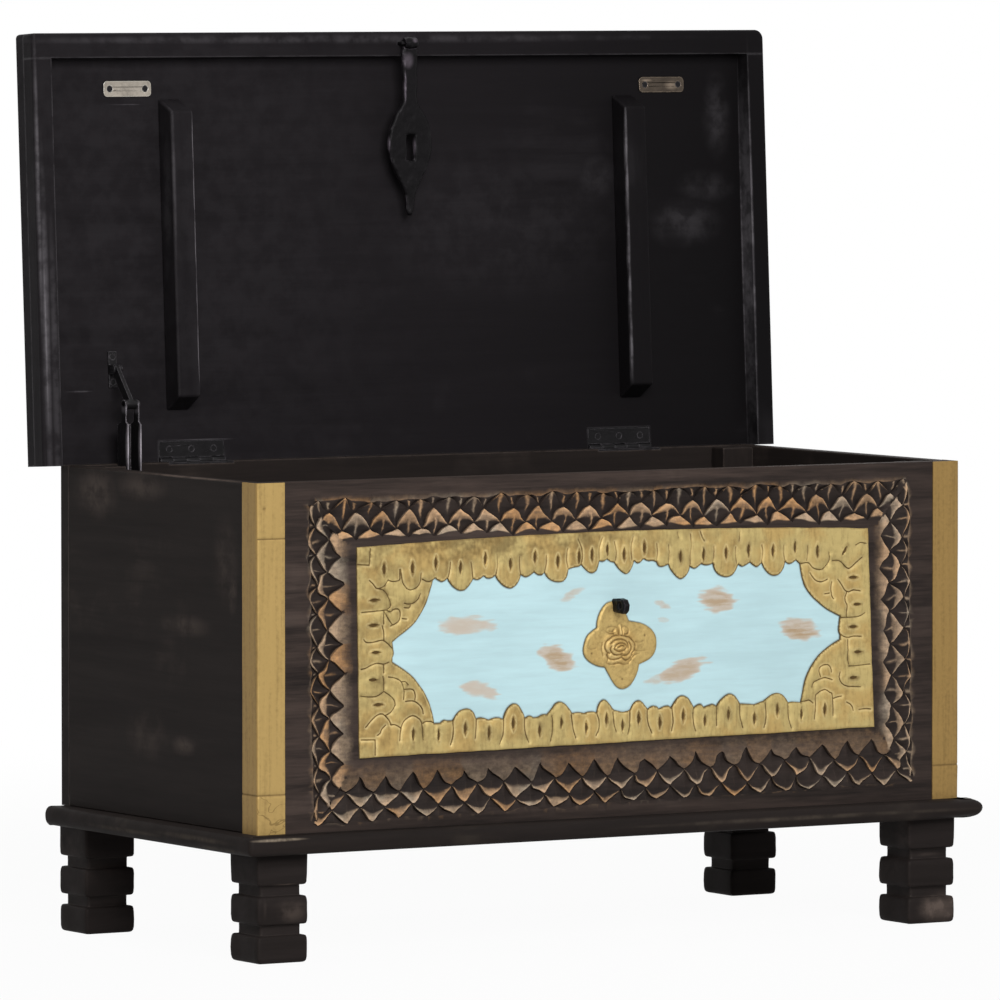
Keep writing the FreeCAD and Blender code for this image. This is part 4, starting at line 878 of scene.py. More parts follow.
def relief(loops, lines, fill, backs, height, place=on_front):
    """Closed plate on a face: relief from a height function, walls and backs at a depth per loop."""
    spots, faces = triangles(loops, lines, fill)
    used = np.unique(faces)
    number = {old: new for new, old in enumerate(used)}
    spots = spots[used]
    faces = [[number[i] for i in face] for face in faces]
    rise, spots, values = height(spots)
    points = [place(x, z, -y) for (x, z), y in zip(spots, rise)]
    rims = rim_edges(faces)
    below = {}
    for back in sorted(set(backs)):
        flat = [e for e in rims if backs[near_loop((spots[e[0]] + spots[e[1]]) / 2, loops)] == back]
        corners = sorted({i for edge in flat for i in edge})
        for i in corners:
            below[i] = len(points)
            points.append(place(*spots[i], back))
        faces += [[b, a, below[a], below[b]] for a, b in flat]
        faces += back_faces(spots, flat, corners, below)
    copied = {name: np.concatenate([value, value[list(below)]]) for name, value in values.items()}
    return points, faces, copied


def back_faces(spots, edges, corners, below):
    """Flat faces that close the back of a plate inside its rim edges."""
    order = {i: n for n, i in enumerate(corners)}
    flat = [Vector(spots[i]) for i in corners]
    made, _, faces, origin, _, _ = delaunay_2d_cdt(
        flat, [(order[a], order[b]) for a, b in edges], [], 0, 1e-6
    )
    middles = np.array([sum((made[i] for i in face), Vector((0, 0))) / 3 for face in faces])
    kept = enclosed(middles, [(spots[a], spots[b]) for a, b in edges])
    return [[below[corners[origin[i][0]]] for i in reversed(face)] for face, keep in zip(faces, kept) if keep]


def stacked(count, rows):
    """Faces of a solid from rings of as many points, one above the other."""
    last = (rows - 1) * count
    faces = [list(range(count))[::-1], list(range(last, last + count))]
    for row in range(rows - 1):
        for i in range(count):
            a, b = row * count + i, row * count + (i + 1) % count
            faces.append([a, b, b + count, a + count])
    return faces


def piece(name, points, faces, material, body, values=None, nodes=(), sharp=35):
    """Mesh piece that rides on a body and stands for some nodes."""
    mesh = bpy.data.meshes.new(name)
    mesh.from_pydata([tuple(point) for point in points], [], [tuple(int(i) for i in face) for face in faces])
    mesh.validate()
    for key, value in (values or {}).items():
        mesh.attributes.new(key, "FLOAT", "POINT").data.foreach_set("value", value.astype(np.float32))
    mesh.shade_smooth()
    mesh.set_sharp_from_angle(angle=math.radians(sharp))
    mesh.materials.append(material)
    made = bpy.data.objects.new(name, mesh)
    bpy.context.scene.collection.objects.link(made)
    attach(made, body)
    if nodes:
        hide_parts(*nodes)
    return made


def dress(node, material, rounding, segments=3):
    """Gives a node of the frame a material and worn arrises."""
    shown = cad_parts[node]
    shown.data.materials.clear()
    shown.data.materials.append(material)
    weld = shown.modifiers.new("weld", "WELD")
    weld.merge_threshold = 1e-5
    soften(shown, rounding, segments)


def soften(made, rounding, segments):
    """Rounds the arrises of an object."""
    round_over = made.modifiers.new("arris", "BEVEL")
    round_over.width = rounding
    round_over.segments = segments
    round_over.limit_method = "ANGLE"
    round_over.angle_limit = math.radians(32)
    round_over.harden_normals = True


# Carved band


class BandSide:
    """One side of the carved band: places along it and levels across it."""

    # How far the cuts run on past the ends, and levels of the border and of the caps on the top side
    past = 44
    border_levels = (2.93, 3.0, 3.07)
    cap_levels = (0.2, 0.36)

    def __init__(self, index, carving):
        corners = [np.array(BAND_INNER[i % 4], float) for i in (index, index + 1)]
        outer = [np.array(BAND_OUTER[i % 4], float) for i in (index, index + 1)]
        self.index = index
        self.start = corners[0]
        self.long = float(np.hypot(*(corners[1] - corners[0])))
        self.along = (corners[1] - corners[0]) / self.long
        self.out = np.array((-self.along[1], self.along[0]))
        self.wide = [float((far - near) @ self.out) for near, far in zip(corners, outer)]
        levels = np.array(BAND_LEVELS[index], float)
        self.shares = levels / levels[-1]
        self.pitch = self.long / round(self.long / (carving.pitch / MM))
        self.mitres = [(near, far - near) for near, far in zip(corners, outer)]
        self.carving = carving
        self.ground, self.lobe, *self.chips, self.stem, self.border, self.grey = BAND_LOOKS[index]

    def width(self, u):
        """Width of the band at a place along it."""
        return self.wide[0] + (self.wide[1] - self.wide[0]) * u / self.long

    def point(self, u, level):
        """Place on the front."""
        share = np.interp(level, (0, 1, 2, 3), self.shares)
        return self.start + np.outer(u, self.along) + np.outer(share * self.width(u), self.out)

    def place(self, points):
        """Place along the side and level across it."""
        u = (points - self.start) @ self.along
        share = (points - self.start) @ self.out / self.width(u)
        level = np.interp(share, self.shares, (0, 1, 2, 3))
        level = np.where(share < 0, share / self.shares[1], level)
        return u, np.where(share > 1, 3 + (share - 1) * 3, level)

    def mitre_gap(self, points):
        """Distance inside the two mitres, negative outside them."""
        gaps = []
        for sign, (corner, way) in zip((-1, 1), self.mitres):
            across = way[0] * (points - corner)[:, 1] - way[1] * (points - corner)[:, 0]
            gaps.append(sign * across / np.hypot(*way))
        return np.minimum(*gaps)

    def cell(self, row, u):
        """Number of the scale in its row, and place across it from -1 to 1."""
        spot = u / self.pitch - (0.5 if row % 2 == 0 else 0)
        return np.round(spot), 2 * (spot - np.round(spot))

    def edge(self, row, u):
        """Level of the edge of a row of scales."""
        if row == 2:
            return np.full_like(u, 3.0)
        _, t = self.cell(row, u)
        t = np.abs(t)
        return row + 1 + (1 - t) * (1 + self.carving.bulge * t)

    def crease_lines(self):
        """Lines along the stabbed edges, the chips and the ridges."""
        slip = 0.03
        u = np.arange(-self.past, self.long + self.past, self.pitch / 12)
        curves = []
        for row in (-1, 0, 1):
            curves += [(u, self.edge(row, u) - slip), (u, self.edge(row, u) + slip)]
        for row in (0, 1, 2):
            low, high = self.edge(row - 1, u), self.edge(row, u)
            curves.append((u, low + (high - low) * self.chip_top(row, u)))
            first = 0.5 if row % 2 == 0 else 0
            for middle in (np.arange(-2, self.long / self.pitch + 2) + first) * self.pitch:
                level = row + np.linspace(0.08, 2 * self.chips[0] * (1 if row < 2 else 0.5), 4)
                curves.append((np.full(4, middle), np.minimum(level, 2.95)))
        border = np.arange(-self.past, self.long + self.past, self.pitch / 4)
        levels = self.border_levels if self.index else self.cap_levels + self.border_levels
        curves += [(border, np.full_like(border, level)) for level in levels]
        lines = []
        for along, level in curves:
            points = self.point(along, level)
            kept = self.mitre_gap(points) > 0.5
            runs = np.split(np.arange(len(points)), np.where(np.diff(kept.astype(int)) != 0)[0] + 1)
            lines += [points[run] for run in runs if kept[run[0]] and len(run) > 1]
        return lines

    def luck(self, row, number):
        """Chance from 0 to 1 that stays with a scale."""
        return np.modf(np.abs(np.sin(number * 12.9898 + row * 78.233 + self.index * 37.7)) * 43758.5)[0]

    def chip_top(self, row, u):
        """Share of a scale that its two chips take."""
        if row == 2:
            return np.full_like(u, 0.8)
        stray = self.carving.uneven * (self.luck(row, self.cell(row, u)[0]) - 0.5)
        narrow = 0.16 * (1 - eased(u, 200, 480)) if self.index == 2 else 0
        return np.minimum(self.chips[row] + narrow + stray, 0.97)

    def cut(self, points):
        """Depth, wear, painted shade in the chips and greyness at points of this side, and which points are
        on it.
        """
        u, level = self.place(points)
        gap = self.mitre_gap(points)
        deep = self.carving.depth / MM
        ridge = self.carving.ridge / MM
        depth = np.zeros(len(points))
        brow = self.edge(-1, u)
        cap = eased(level, -0.5, 0.7) if self.index else eased(level, *self.cap_levels)
        ground = self.ground * (0.4 + 0.6 * eased(level, -1.6, -0.2))
        wear = (ground + (self.lobe - ground) * cap) * (level < brow)
        hollow = np.zeros(len(points))
        grey = self.luck(-1, self.cell(-1, u)[0])
        for row in (0, 1, 2):
            low, high = self.edge(row - 1, u), self.edge(row, u)
            within = (level > low) & (level <= high) & (gap > 0)
            share = (level - low) / np.maximum(high - low, 0.02)
            number, t = self.cell(row, u)
            side = np.abs(t)
            top = self.chip_top(row, u)
            luck = self.luck(row + 5, number)
            rise = np.clip(share / top, 0, 1)
            stab = ridge + (deep * (0.75 + 0.4 * luck) - ridge) * eased(side, 0.02, 0.4)
            stab = stab * (1 - 0.7 * eased(side, 0.6, 1))
            chip = stab * (1 - rise) ** 1.1 + 0.3 * (share < top)
            tip = eased(share, top - 0.03, top + 0.03) if row < 2 else 0.35 * eased(share, 0.8, 0.98)
            broad = 0.5 + (1.9 if row == 1 and self.chips[1] == 1 else 0.5) * rise
            stem = self.stem * np.exp(-((t * self.pitch / 2 / broad) ** 2)) * eased(rise, 0.15, 0.6)
            depth = np.where(within, chip * eased(gap, 0.6, 2.6), depth)
            tip = tip * (0.55 + 0.45 * eased(share, top, 1.0))
            wear = np.where(within, np.maximum(tip, 0.85 * stem) * (0.8 + 0.2 * luck), wear)
            # Painted shade on the chips, off their tips and stems
            hollow = np.where(within, (1 - tip) * (1 - 0.5 * stem), hollow)
            grey = np.where(within, self.luck(row + 9, number), grey)
        wear = np.maximum(wear, self.border * (1 - eased(np.abs(level - 3), 0.02, 0.07)) * (gap > 0))
        grey = self.grey + (1 - self.grey) * grey
        return depth, wear, hollow, grey, (gap > 0) & (level > -6) & (level < 3.6)


class CHEST_OT_carve_front(bpy.types.Operator):
    """Carves the band of scales round the front board"""

    bl_idname = "chest.carve_front"
    bl_label = "Carve Front"

    def execute(self, context):
        carving = context.scene.chest_carving
        sides = [BandSide(index, carving) for index in range(4)]
        room = Vector((0.0003, 0, 0.0003))
        least_wear = 0.06
        loops = [
            rectangle(BOARD_LOW, BOARD_HIGH, step=12),
            rectangle(PANEL_LOW - room, PANEL_HIGH + room, step=10),
        ]
        lines = [line for side in sides for line in side.crease_lines()]
        for corner, way in [side.mitres[0] for side in sides]:
            lines.append(spaced((corner, corner + way), 3))
        low, high = loops[0].min(0) + 3, loops[0].max(0) - 3
        fine = grid(low, high, step=2.6)
        near = np.zeros(len(fine), bool)
        for side in sides:
            _, level = side.place(fine)
            near |= (side.mitre_gap(fine) > 0) & (level > -0.5) & (level < 3)
        coarse = grid(low, high, step=9)
        fill = np.vstack([fine[near], coarse[inside(coarse, loops)]])

        frame_side = [spaced((FRAME_CORNERS[a], FRAME_CORNERS[b]), 4) for a, b in ((0, 3), (1, 2))]

        def height(spots):
            """Depth of the cuts, places that stray, wear with a painted shadow beside the frame, darkening
            and greyness.
            """
            # Painted shadow beside the left and right sides of the brass frame, where less wear is shown
            shade = 0.25 + 0.75 * eased(line_gap(spots, frame_side), 3, 7.5)
            depth = np.zeros(len(spots))
            wear = np.full(len(spots), least_wear)
            # Painted shade growing towards the right, and darker towards the bottom
            hollow = np.maximum(0.35 * eased(spots[:, 0], 0, 340), 0.6 * (1 - eased(spots[:, 1], 4, 24)))
            grey = np.full(len(spots), 0.5)
            loose = np.zeros(len(spots))
            for side in sides:
                cut_depth, cut_wear, cut_darkening, cut_grey, on = side.cut(spots)
                grey = np.where(on, cut_grey, grey)
                depth = np.where(on, cut_depth, depth)
                wear = np.where(on, np.maximum(cut_wear, least_wear) * shade, wear)
                hollow = np.where(on & (cut_darkening > 0), cut_darkening, hollow)
                _, level = side.place(spots)
                loose = np.where(on, eased(level, -1.5, -0.3) * eased(-level, -3.5, -3.1), loose)
            stray = carving.jitter / MM * 2
            moved = spots + stray * loose[:, None] * np.column_stack(
                [ripple(spots, 0.07, 3.1), ripple(spots, 0.07, 8.7)]
            )
            return -depth, moved, {"wear": wear, "hollow": hollow, "grey": grey}

        backs = [(BOARD_HIGH.y - BOARD_LOW.y) / MM, (PANEL_HIGH.y - PANEL_LOW.y) / MM]
        points, faces, values = relief(loops, lines, fill, backs, height)
        material = carved_wood("carved_front", context.scene.chest_finishes)
        piece("carved_front", points, faces, material, "chest", values, ["front_board"])
        return {"FINISHED"}


class CHEST_OT_paint_panel(bpy.types.Operator):
    """Paints the panel and rubs the paint through in patches"""

    bl_idname = "chest.paint_panel"
    bl_label = "Paint Panel"

    def execute(self, context):
        loops = [rectangle(PANEL_LOW, PANEL_HIGH, step=6)]
        low, high = loops[0].min(0) + 1, loops[0].max(0) - 1
        brims = [ringed(drawn(OPENING, step=1.4)), ringed(drawn(MEDALLION, step=1.2))]
        gaps = (0.2, -0.2, 0.8, -0.8, 1.5, -1.5)
        fill = np.vstack([grid(low, high, step=1.6)] + [beside(brim, gaps) for brim in brims])

        def height(spots):
            """Brush strokes, patches where the paint is gone, and a painted shadow along the brass."""
            streak = ripple(spots * (0.2, 1), 0.4, 5.2)
            worn = np.zeros(len(spots))
            brown = np.zeros(len(spots))
            for x, z, wide, high, slant, strength, share in WORN_PATCHES:
                across = (spots[:, 0] - x) / (wide / 2)
                up = (spots[:, 1] - z - slant * (spots[:, 0] - x)) / (high / 2)
                reach = (np.abs(across) ** 1.7 + np.abs(up) ** 1.7) ** (1 / 1.7) + 0.4 * streak
                patch = strength * (1 - eased(reach, 0.6, 1.3))
                brown = np.where(patch > worn, share * (1 - eased(reach, 0.35, 1.15)), brown)
                worn = np.maximum(worn, patch)
            brushed = 0.12 * ripple(spots * (0.08, 1), 0.6, 2.2)
            # Painted shadow along the edge of the opening in the brass and round the medallion
            grime = 0.9 * (1 - eased(line_gap(spots, brims), 0.2, 1.5))
            values = {"worn": worn, "brown": brown, "grime": grime}
            return np.minimum(brushed - 0.15 * worn, 0), spots, values

        backs = [(PANEL_HIGH.y - PANEL_LOW.y) / MM]
        points, faces, values = relief(loops, [], fill, backs, height)
        material = worn_paint("pale_paint", context.scene.chest_finishes)
        piece("pale_panel", points, faces, material, "chest", values, ["painted_panel"])
        return {"FINISHED"}


# Embossed brass


def lens(centre, long, wide, turn):
    """Outline of a slit."""
    share = np.linspace(-1, 1, 7)
    bow = wide / 2 * (1 - share**2)
    upper = np.column_stack([bow, share * long / 2])
    lower = np.column_stack([-bow, share * long / 2])[::-1][1:-1]
    spin = np.array(((math.cos(turn), math.sin(turn)), (-math.sin(turn), math.cos(turn))))
    return np.array(centre) + np.vstack([upper, lower]) @ spin


def frame_eyes(brass):
    """Outlines of the slits in the petals."""
    long, wide = brass.eye_long / MM, brass.eye_wide / MM
    eyes = [lens(spot, long, wide, 0) for spot in (*TOP_EYES[:-1], *BOTTOM_EYES)]
    eyes.append(lens(TOP_EYES[-1], long, wide, TURNED_SLIT))
    eyes += [lens(spot, long * END_SLIT_SHARE, wide, math.pi / 2) for spot in (*LEFT_EYES, *RIGHT_EYES)]
    return eyes


class CHEST_OT_emboss_frame(bpy.types.Operator):
    """Cuts and embosses the brass frame of the panel"""

    bl_idname = "chest.emboss_frame"
    bl_label = "Emboss Frame"

    def execute(self, context):
        brass = context.scene.chest_brass
        corners = FRAME_CORNERS
        outer = list(bowed(corners[0], FRAME_CROWN, corners[1], 40)) + [corners[2], corners[3]]
        outer = spaced(outer, 3, closed=True)
        outer = outer + 0.5 * np.column_stack([ripple(outer, 0.05, 1.0), ripple(outer, 0.05, 6.0)])
        hole = drawn(OPENING, step=1.4)
        eyes = frame_eyes(brass)
        band = [outer, hole]
        lines = [flowing(line, step=1.5) for line in LEFT_LINES + RIGHT_LINES + ROW_LINES]
        lines = [line[inside(line, band)] for line in lines]
        lines = [line for line in lines if len(line) > 2]
        fill = filling(band, step=1.5, rim_room=0.9, lines=lines, line_room=0.6)
        rings = [ringed(eye) for eye in eyes]
        near = np.vstack([beside(line, (0.55, -0.55, 1.1, -1.1)) for line in lines])
        near = near[inside(near, band)]
        fill = np.vstack([fill, near[line_gap(near, lines) > 0.4]])
        cores = [ringed(eye.mean(0) + (eye - eye.mean(0)) * 0.6) for eye in eyes]
        creases = lines + rings + cores

        def height(spots):
            """Rise of the sheet with its petals, lines and slits."""
            x, z = spots.T
            gap = line_gap(spots, lines)
            rim = line_gap(spots, [ringed(hole)])
            brim = line_gap(spots, [ringed(outer)])
            slit = np.zeros(len(spots))
            slit_gap = line_gap(spots, rings)
            for eye in eyes:
                slit = np.maximum(slit, inside(spots, [eye]))
            row = 1 - eased(np.abs(x), 215, 235)
            faint = 1 - 0.5 * row * eased(z, 228, 236)
            pillow = brass.pillow / MM * eased(np.minimum(gap, rim), 0, 5)
            groove = (1 - eased(gap, 0.05, 0.6)) * faint
            sunk = slit * eased(slit_gap, 0.02, 0.6)
            lip = (1 - slit) * (1 - eased(slit_gap, 0, 1.5)) * 0.3
            flutes = row * ripple(spots * (1, 0.1), 0.3, 2.0)
            flutes = flutes + (1 - row) * ripple(spots * (0.2, 1), 0.25, 3.0)
            beaten = 0.25 * ripple(spots, 0.12, 4.4) + 0.12 * ripple(spots, 0.5, 9.1) + 0.35 * flutes
            rise = brass.sheet / MM + pillow + lip + beaten - brass.line / MM * groove - 1.2 * sunk
            rise = rise - 0.5 * (1 - eased(brim, 0, 1.5))
            line = np.maximum(0.95 * groove, slit * eased(slit_gap, 0.02, 0.45))
            # Painted shadow: dark lines along the edge of the opening and, fainter, along the outer edge
            line = np.maximum(line, 0.95 * (1 - eased(rim, 0.1, 0.9)))
            line = np.maximum(line, 0.4 * (1 - eased(brim, 0.1, 1.0)))
            smoke = 0.5 + ripple(spots * (0.5, 1), 0.09, 6.1) + 0.6 * ripple(spots, 0.3, 7.7)
            dirt = 0.5 * (1 - eased(np.minimum(gap, slit_gap), 0.4, 3)) * smoke
            crown = eased(z, 240, 258) * (1 - eased(x, -60, 40)) * row
            dull = 0.14 + 0.2 * (1 - eased(x, -260, 0)) - 0.14 * eased(x, 120, 260)
            dull = dull + 0.16 * eased(z, 232, 250) * (1 - eased(x, 0, 200))
            tarnish = np.clip(dirt + dull * smoke + 0.5 * crown * smoke, 0, 0.6)
            # Painted highlights just beside the lines, the slits and the opening
            close = np.minimum(np.minimum(gap, slit_gap), rim)
            burnish = 0.6 * eased(close, 0.4, 1.0) * (1 - eased(close, 1.2, 3.0)) * (1 - slit)
            return np.maximum(rise, 0.3), spots, {"line": line, "tarnish": tarnish, "burnish": burnish}

        points, faces, values = relief(band, creases, fill, [0, 0], height)
        material = beaten_brass("beaten_brass", context.scene.chest_finishes, (1, 1, 0.2))
        piece(
            "embossed_frame", points, faces, material, "chest", values,
            ["brass_frame"], sharp=50,
        )
        return {"FINISHED"}


class CHEST_OT_press_medallion(bpy.types.Operator):
    """Presses the rose into the brass medallion"""

    bl_idname = "chest.press_medallion"
    bl_label = "Press Medallion"

    def execute(self, context):
        brass = context.scene.chest_brass
        loop = drawn(MEDALLION, step=1.0)
        lines = [flowing(line, step=1.0) for line in ROSE_LINES]
        rim = [ringed(loop)]
        fill = filling([loop], step=0.9, rim_room=0.6, lines=lines, line_room=0.4)

        def height(spots):
            """Rise of the rose, its stalk and the beaten petals."""
            x, z = (spots - ROSE_HEART).T
            radius = np.hypot(x, z * 1.1)
            gap = line_gap(spots, rim)
            near = line_gap(spots, lines)
            nail = line_gap(spots, [np.array((mark, mark)) for mark in NAIL_MARKS])
            tall = brass.rose / MM
            bloom = 1 - eased(radius, 13, 24)
            dome = tall * 0.6 * (1 - eased(radius, 3, 21))
            petals = 1.1 * eased(near, 0, 2.4) * (0.2 + 0.8 * bloom)
            groove = (1 - eased(near, 0.1, 0.85)) * (0.45 + 0.55 * bloom)
            stalk = 1.3 * np.exp(-(((x - 0.5) / 1.5) ** 2)) * eased(z, 9.5, 11.5) * (1 - eased(z, 18.5, 21))
            beaten = 0.5 * ripple(spots, 0.14, 2.5) + 0.25 * ripple(spots, 0.5, 7.5)
            fall = eased(gap, 0, 2.5)
            rise = 0.9 + 0.9 * fall + (dome + petals + stalk + beaten) * fall - 0.5 * groove
            rise = rise - 0.5 * (1 - eased(nail, 0.4, 1.4))
            # Dark pressed lines, and a painted shadow along the edge of the medallion
            line = np.maximum(0.75 * groove, 0.5 * (1 - eased(gap, 0.1, 0.9)))
            line = np.maximum(line, 0.7 * (1 - eased(nail, 0.5, 1.5)))
            # Painted highlights beside the lines of the rose
            burnish = 0.6 * bloom * eased(near, 0.5, 1.2) * (1 - eased(near, 1.4, 3))
            values = {"line": line, "warm": 0.45 + 0.5 * bloom, "burnish": burnish}
            return np.maximum(rise, 0.5), spots, values

        points, faces, values = relief([loop], lines, fill, [0], height)
        material = beaten_brass("pressed_brass", context.scene.chest_finishes)
        piece(
            "rose_medallion", points, faces, material, "chest", values, ["medallion"], sharp=60
        )
        return {"FINISHED"}


# Seams of the corner strips: height above the plinth and whether the side face has it too
SEAMS = {"left": ((269, False), (36, True)), "right": ((32, True),)}
# Nail of the left strip: height above the plinth and place across
STRIP_NAIL, STRIP_NAIL_ACROSS = 297, 8
# Bend of the sheet in metres, and the painted shade of its two faces: darker on the side face and on the
# right strip
STRIP_BEND = 0.002
SIDE_SHADE = {"left": 0.36, "right": 0.5}
FRONT_SHADE = {"left": 0.15, "right": 0.43}


class CHEST_OT_fold_strips(bpy.types.Operator):
    """Folds the brass strips round the front corners"""

    bl_idname = "chest.fold_strips"
    bl_label = "Fold Corner Strips"

    def execute(self, context):
        material = beaten_brass("folded_brass", context.scene.chest_finishes, (1, 1, 0.03))
        for side in ("left", "right"):
            self.fold(side, context.scene.chest_brass, material)
        return {"FINISHED"}

    def path(self, low, high, way, bend):
        """Places round the corner from the side to the front, with the way out of the sheet."""
        edge = low.x if way < 0 else high.x
        inner = high.x if way < 0 else low.x
        places = [(edge, high.y + (low.y + bend - high.y) * i / 10, way, 0) for i in range(10)]
        for i in range(7):
            angle = math.pi / 2 * i / 6
            x = edge - way * bend * (1 - math.cos(angle))
            places.append((x, low.y + bend * (1 - math.sin(angle)), way * math.cos(angle), -math.sin(angle)))
        start = edge - way * bend
        return places + [(start + (inner - start) * i / 16, low.y, 0, -1) for i in range(1, 17)]

    def fold(self, side, brass, material):
        """One strip."""
        way = -1 if side == "left" else 1
        low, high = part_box("corner_strip_" + side)
        places = self.path(low, high, way, STRIP_BEND)
        levels = list(np.arange(low.z, high.z, 0.004)) + [high.z]
        for seam, _ in SEAMS[side]:
            levels += [low.z + (seam + shift) * MM for shift in (-1.6, -0.5, 0, 0.5, 1.6)]
        if side == "left":
            levels += [low.z + (STRIP_NAIL + shift) * MM for shift in (-1.5, 0, 1.5)]
        levels = sorted(set(np.round(levels, 6)))
        points, line, tarnish, crack = [], [], [], []
        for z in levels:
            up = (z - low.z) / MM
            for x, y, out_x, out_y in places:
                dent = 0.2 * (noise.noise(Vector((x * 280 + y * 200, z * 22, 1.5 + way))) - 0.4)
                cut = 0.0
                for seam, all_round in SEAMS[side]:
                    if all_round or out_y < -0.5:
                        cut = max(cut, 1 - abs(up - seam) / 1.0)
                        dent += 0.3 * (up < seam) * max(0, 1 - (seam - up) / 14)
                if side == "left" and out_x == 0:
                    across = (x - low.x) / MM - STRIP_NAIL_ACROSS
                    cut = max(cut, 1.2 - math.hypot(up - STRIP_NAIL, across) / 1.8)
                cut = min(1, max(0, cut))
                out = (dent - 0.6 * cut) * MM
                points.append((x + out_x * out, y + out_y * out, z))
                turned = eased(abs(out_x), 0.2, 0.8)
                line.append(0.8 * cut)
                # Painted shade, darker on the side face than on the front
                tarnish.append(FRONT_SHADE[side] + (SIDE_SHADE[side] - FRONT_SHADE[side]) * turned)
                crack.append(float(side == "left" and up < SEAMS[side][1][0] and out_y < -0.5))
        for z in levels:
            points += [(x - out_x * brass.sheet, y - out_y * brass.sheet, z) for x, y, out_x, out_y in places]
        # Warmer where the painted shade is darker
        warm = [0.55 + share for share in tarnish]
        values = {"line": line, "tarnish": tarnish, "crack": crack, "warm": warm}
        values = {key: np.array(value + value) for key, value in values.items()}
        faces = self.faces(len(places), len(levels), way)
        piece(
            "folded_strip_" + side, points, faces, material, "chest", values,
            ["corner_strip_" + side], sharp=50,
        )

    def faces(self, count, rows, way):
        """Faces of a closed sheet from its outer and its inner points."""
        back = rows * count
        last = back - count
        faces = []
        for row in range(rows - 1):
            for i in range(count - 1):
                a = row * count + i
                faces.append([a, a + 1, a + count + 1, a + count])
                faces.append([back + k for k in (a + count, a + count + 1, a + 1, a)])
            for a, flip in ((row * count, False), (row * count + count - 1, True)):
                quad = [a, a + count, back + a + count, back + a]
                faces.append(quad[::-1] if flip else quad)
        for i in range(count - 1):
            faces.append([i, back + i, back + i + 1, i + 1])
            faces.append([last + i + 1, back + last + i + 1, back + last + i, last + i])
        return faces if way < 0 else [face[::-1] for face in faces]


# Feet

FEET = ("foot_front_left", "foot_front_right", "foot_back_left", "foot_back_right")
# Height of a ring of the foot and how far it stands in from the full block, in millimetres
FOOT_RINGS = (
    (0, 3.2), (0.6, 1.8), (2, 0.8), (5, 0.25), (12, 0), (19, 0.1), (22.5, 0.4), (24.4, 1.1),
    (24.9, 2.2), (25.1, 4.8), (25.5, 5.2), (30, 5.3), (34.5, 5.2), (34.9, 4.8), (35.1, 2.2),
    (35.7, 1.1), (37.5, 0.4), (42, 0), (48, 0.05), (55, 0.1), (58.5, 0.5), (60.4, 1.2), (60.9, 2.4),
    (61.1, 4.8), (61.5, 5.2), (66, 5.3), (70.5, 5.2), (70.9, 4.8), (71.1, 2.4), (71.7, 1), (73.5, 0.3),
    (80, 0), (90, 0), (100, 0),
)


class CHEST_OT_cut_feet(bpy.types.Operator):
    """Cuts the four feet with their grooves and soft arrises"""

    bl_idname = "chest.cut_feet"
    bl_label = "Cut Feet"

    def execute(self, context):
        finishes = context.scene.chest_finishes
        colours = (finishes.stain_deep, finishes.foot_stain, finishes.stain_worn)
        material = stained_wood("stained_feet", "X", colours, rubbing=0.25, spots=FOOT_SPOTS)
        for seed, node in enumerate(FEET):
            low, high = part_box(node)
            points, faces = self.rings(low, high, seed * 7.3)
            piece("cut_" + node, points, faces, material, "chest", None, [node], sharp=50)
        return {"FINISHED"}

    def rings(self, low, high, seed):
        """Points and faces of a foot from its rings."""
        centre = (low + high) / 2
        half = (high.x - low.x) / 2
        corner, side, turns = 2.6 * MM, 8, 4
        points = []
        for level, inset in FOOT_RINGS:
            reach = half - inset * MM
            for quarter in range(4):
                turn = quarter * math.pi / 2
                flat = [(reach, (reach - corner) * (2 * i / side - 1)) for i in range(side + 1)]
                for i in range(1, turns):
                    angle = math.pi / 2 * i / turns
                    middle = reach - corner
                    flat.append((middle + corner * math.cos(angle), middle + corner * math.sin(angle)))
                for u, v in flat:
                    x, y = u * math.cos(turn) - v * math.sin(turn), u * math.sin(turn) + v * math.cos(turn)
                    z = low.z + level * MM
                    stray = 1 + 0.022 * noise.noise(Vector((x * 40 + seed, y * 40, z * 45)))
                    points.append((centre.x + x * stray, centre.y + y * stray, z))
        return points, stacked(len(points) // len(FOOT_RINGS), len(FOOT_RINGS))


# Pale streaks of the plinth: middle and size in metres, and how far the stain is gone
PLINTH_SPOTS = (
    ((-0.37, -0.204, 0.1147), (0.036, 0.006, 0.002), 1.2),
    ((-0.4, -0.1, 0.11), (0.02, 0.09, 0.0035), 0.13),
    ((-0.4, 0.03, 0.107), (0.02, 0.1, 0.003), 0.1),
    ((-0.4, -0.15, 0.1035), (0.02, 0.06, 0.0025), 0.1),
    ((0.2, -0.205, 0.109), (0.25, 0.02, 0.003), 0.1),
)


# Plinth, in metres: radii of its front left, front right and back corners, depths of its nose where it is
# plain, worn and sharp, and how far from the corner the back edge is sharp
PLINTH_CORNERS = (0.005, 0.008, 0.003)
PLINTH_NOSES = (0.0065, 0.018, 0.0015)
PLINTH_RUN = 0.03
# How uneven the nose is, how full its round is, and the depth from which a worn nose swells again
NOSE_UNEVEN, NOSE_FULLNESS, NOSE_SWELL = 0.0005, 0.75, 0.012


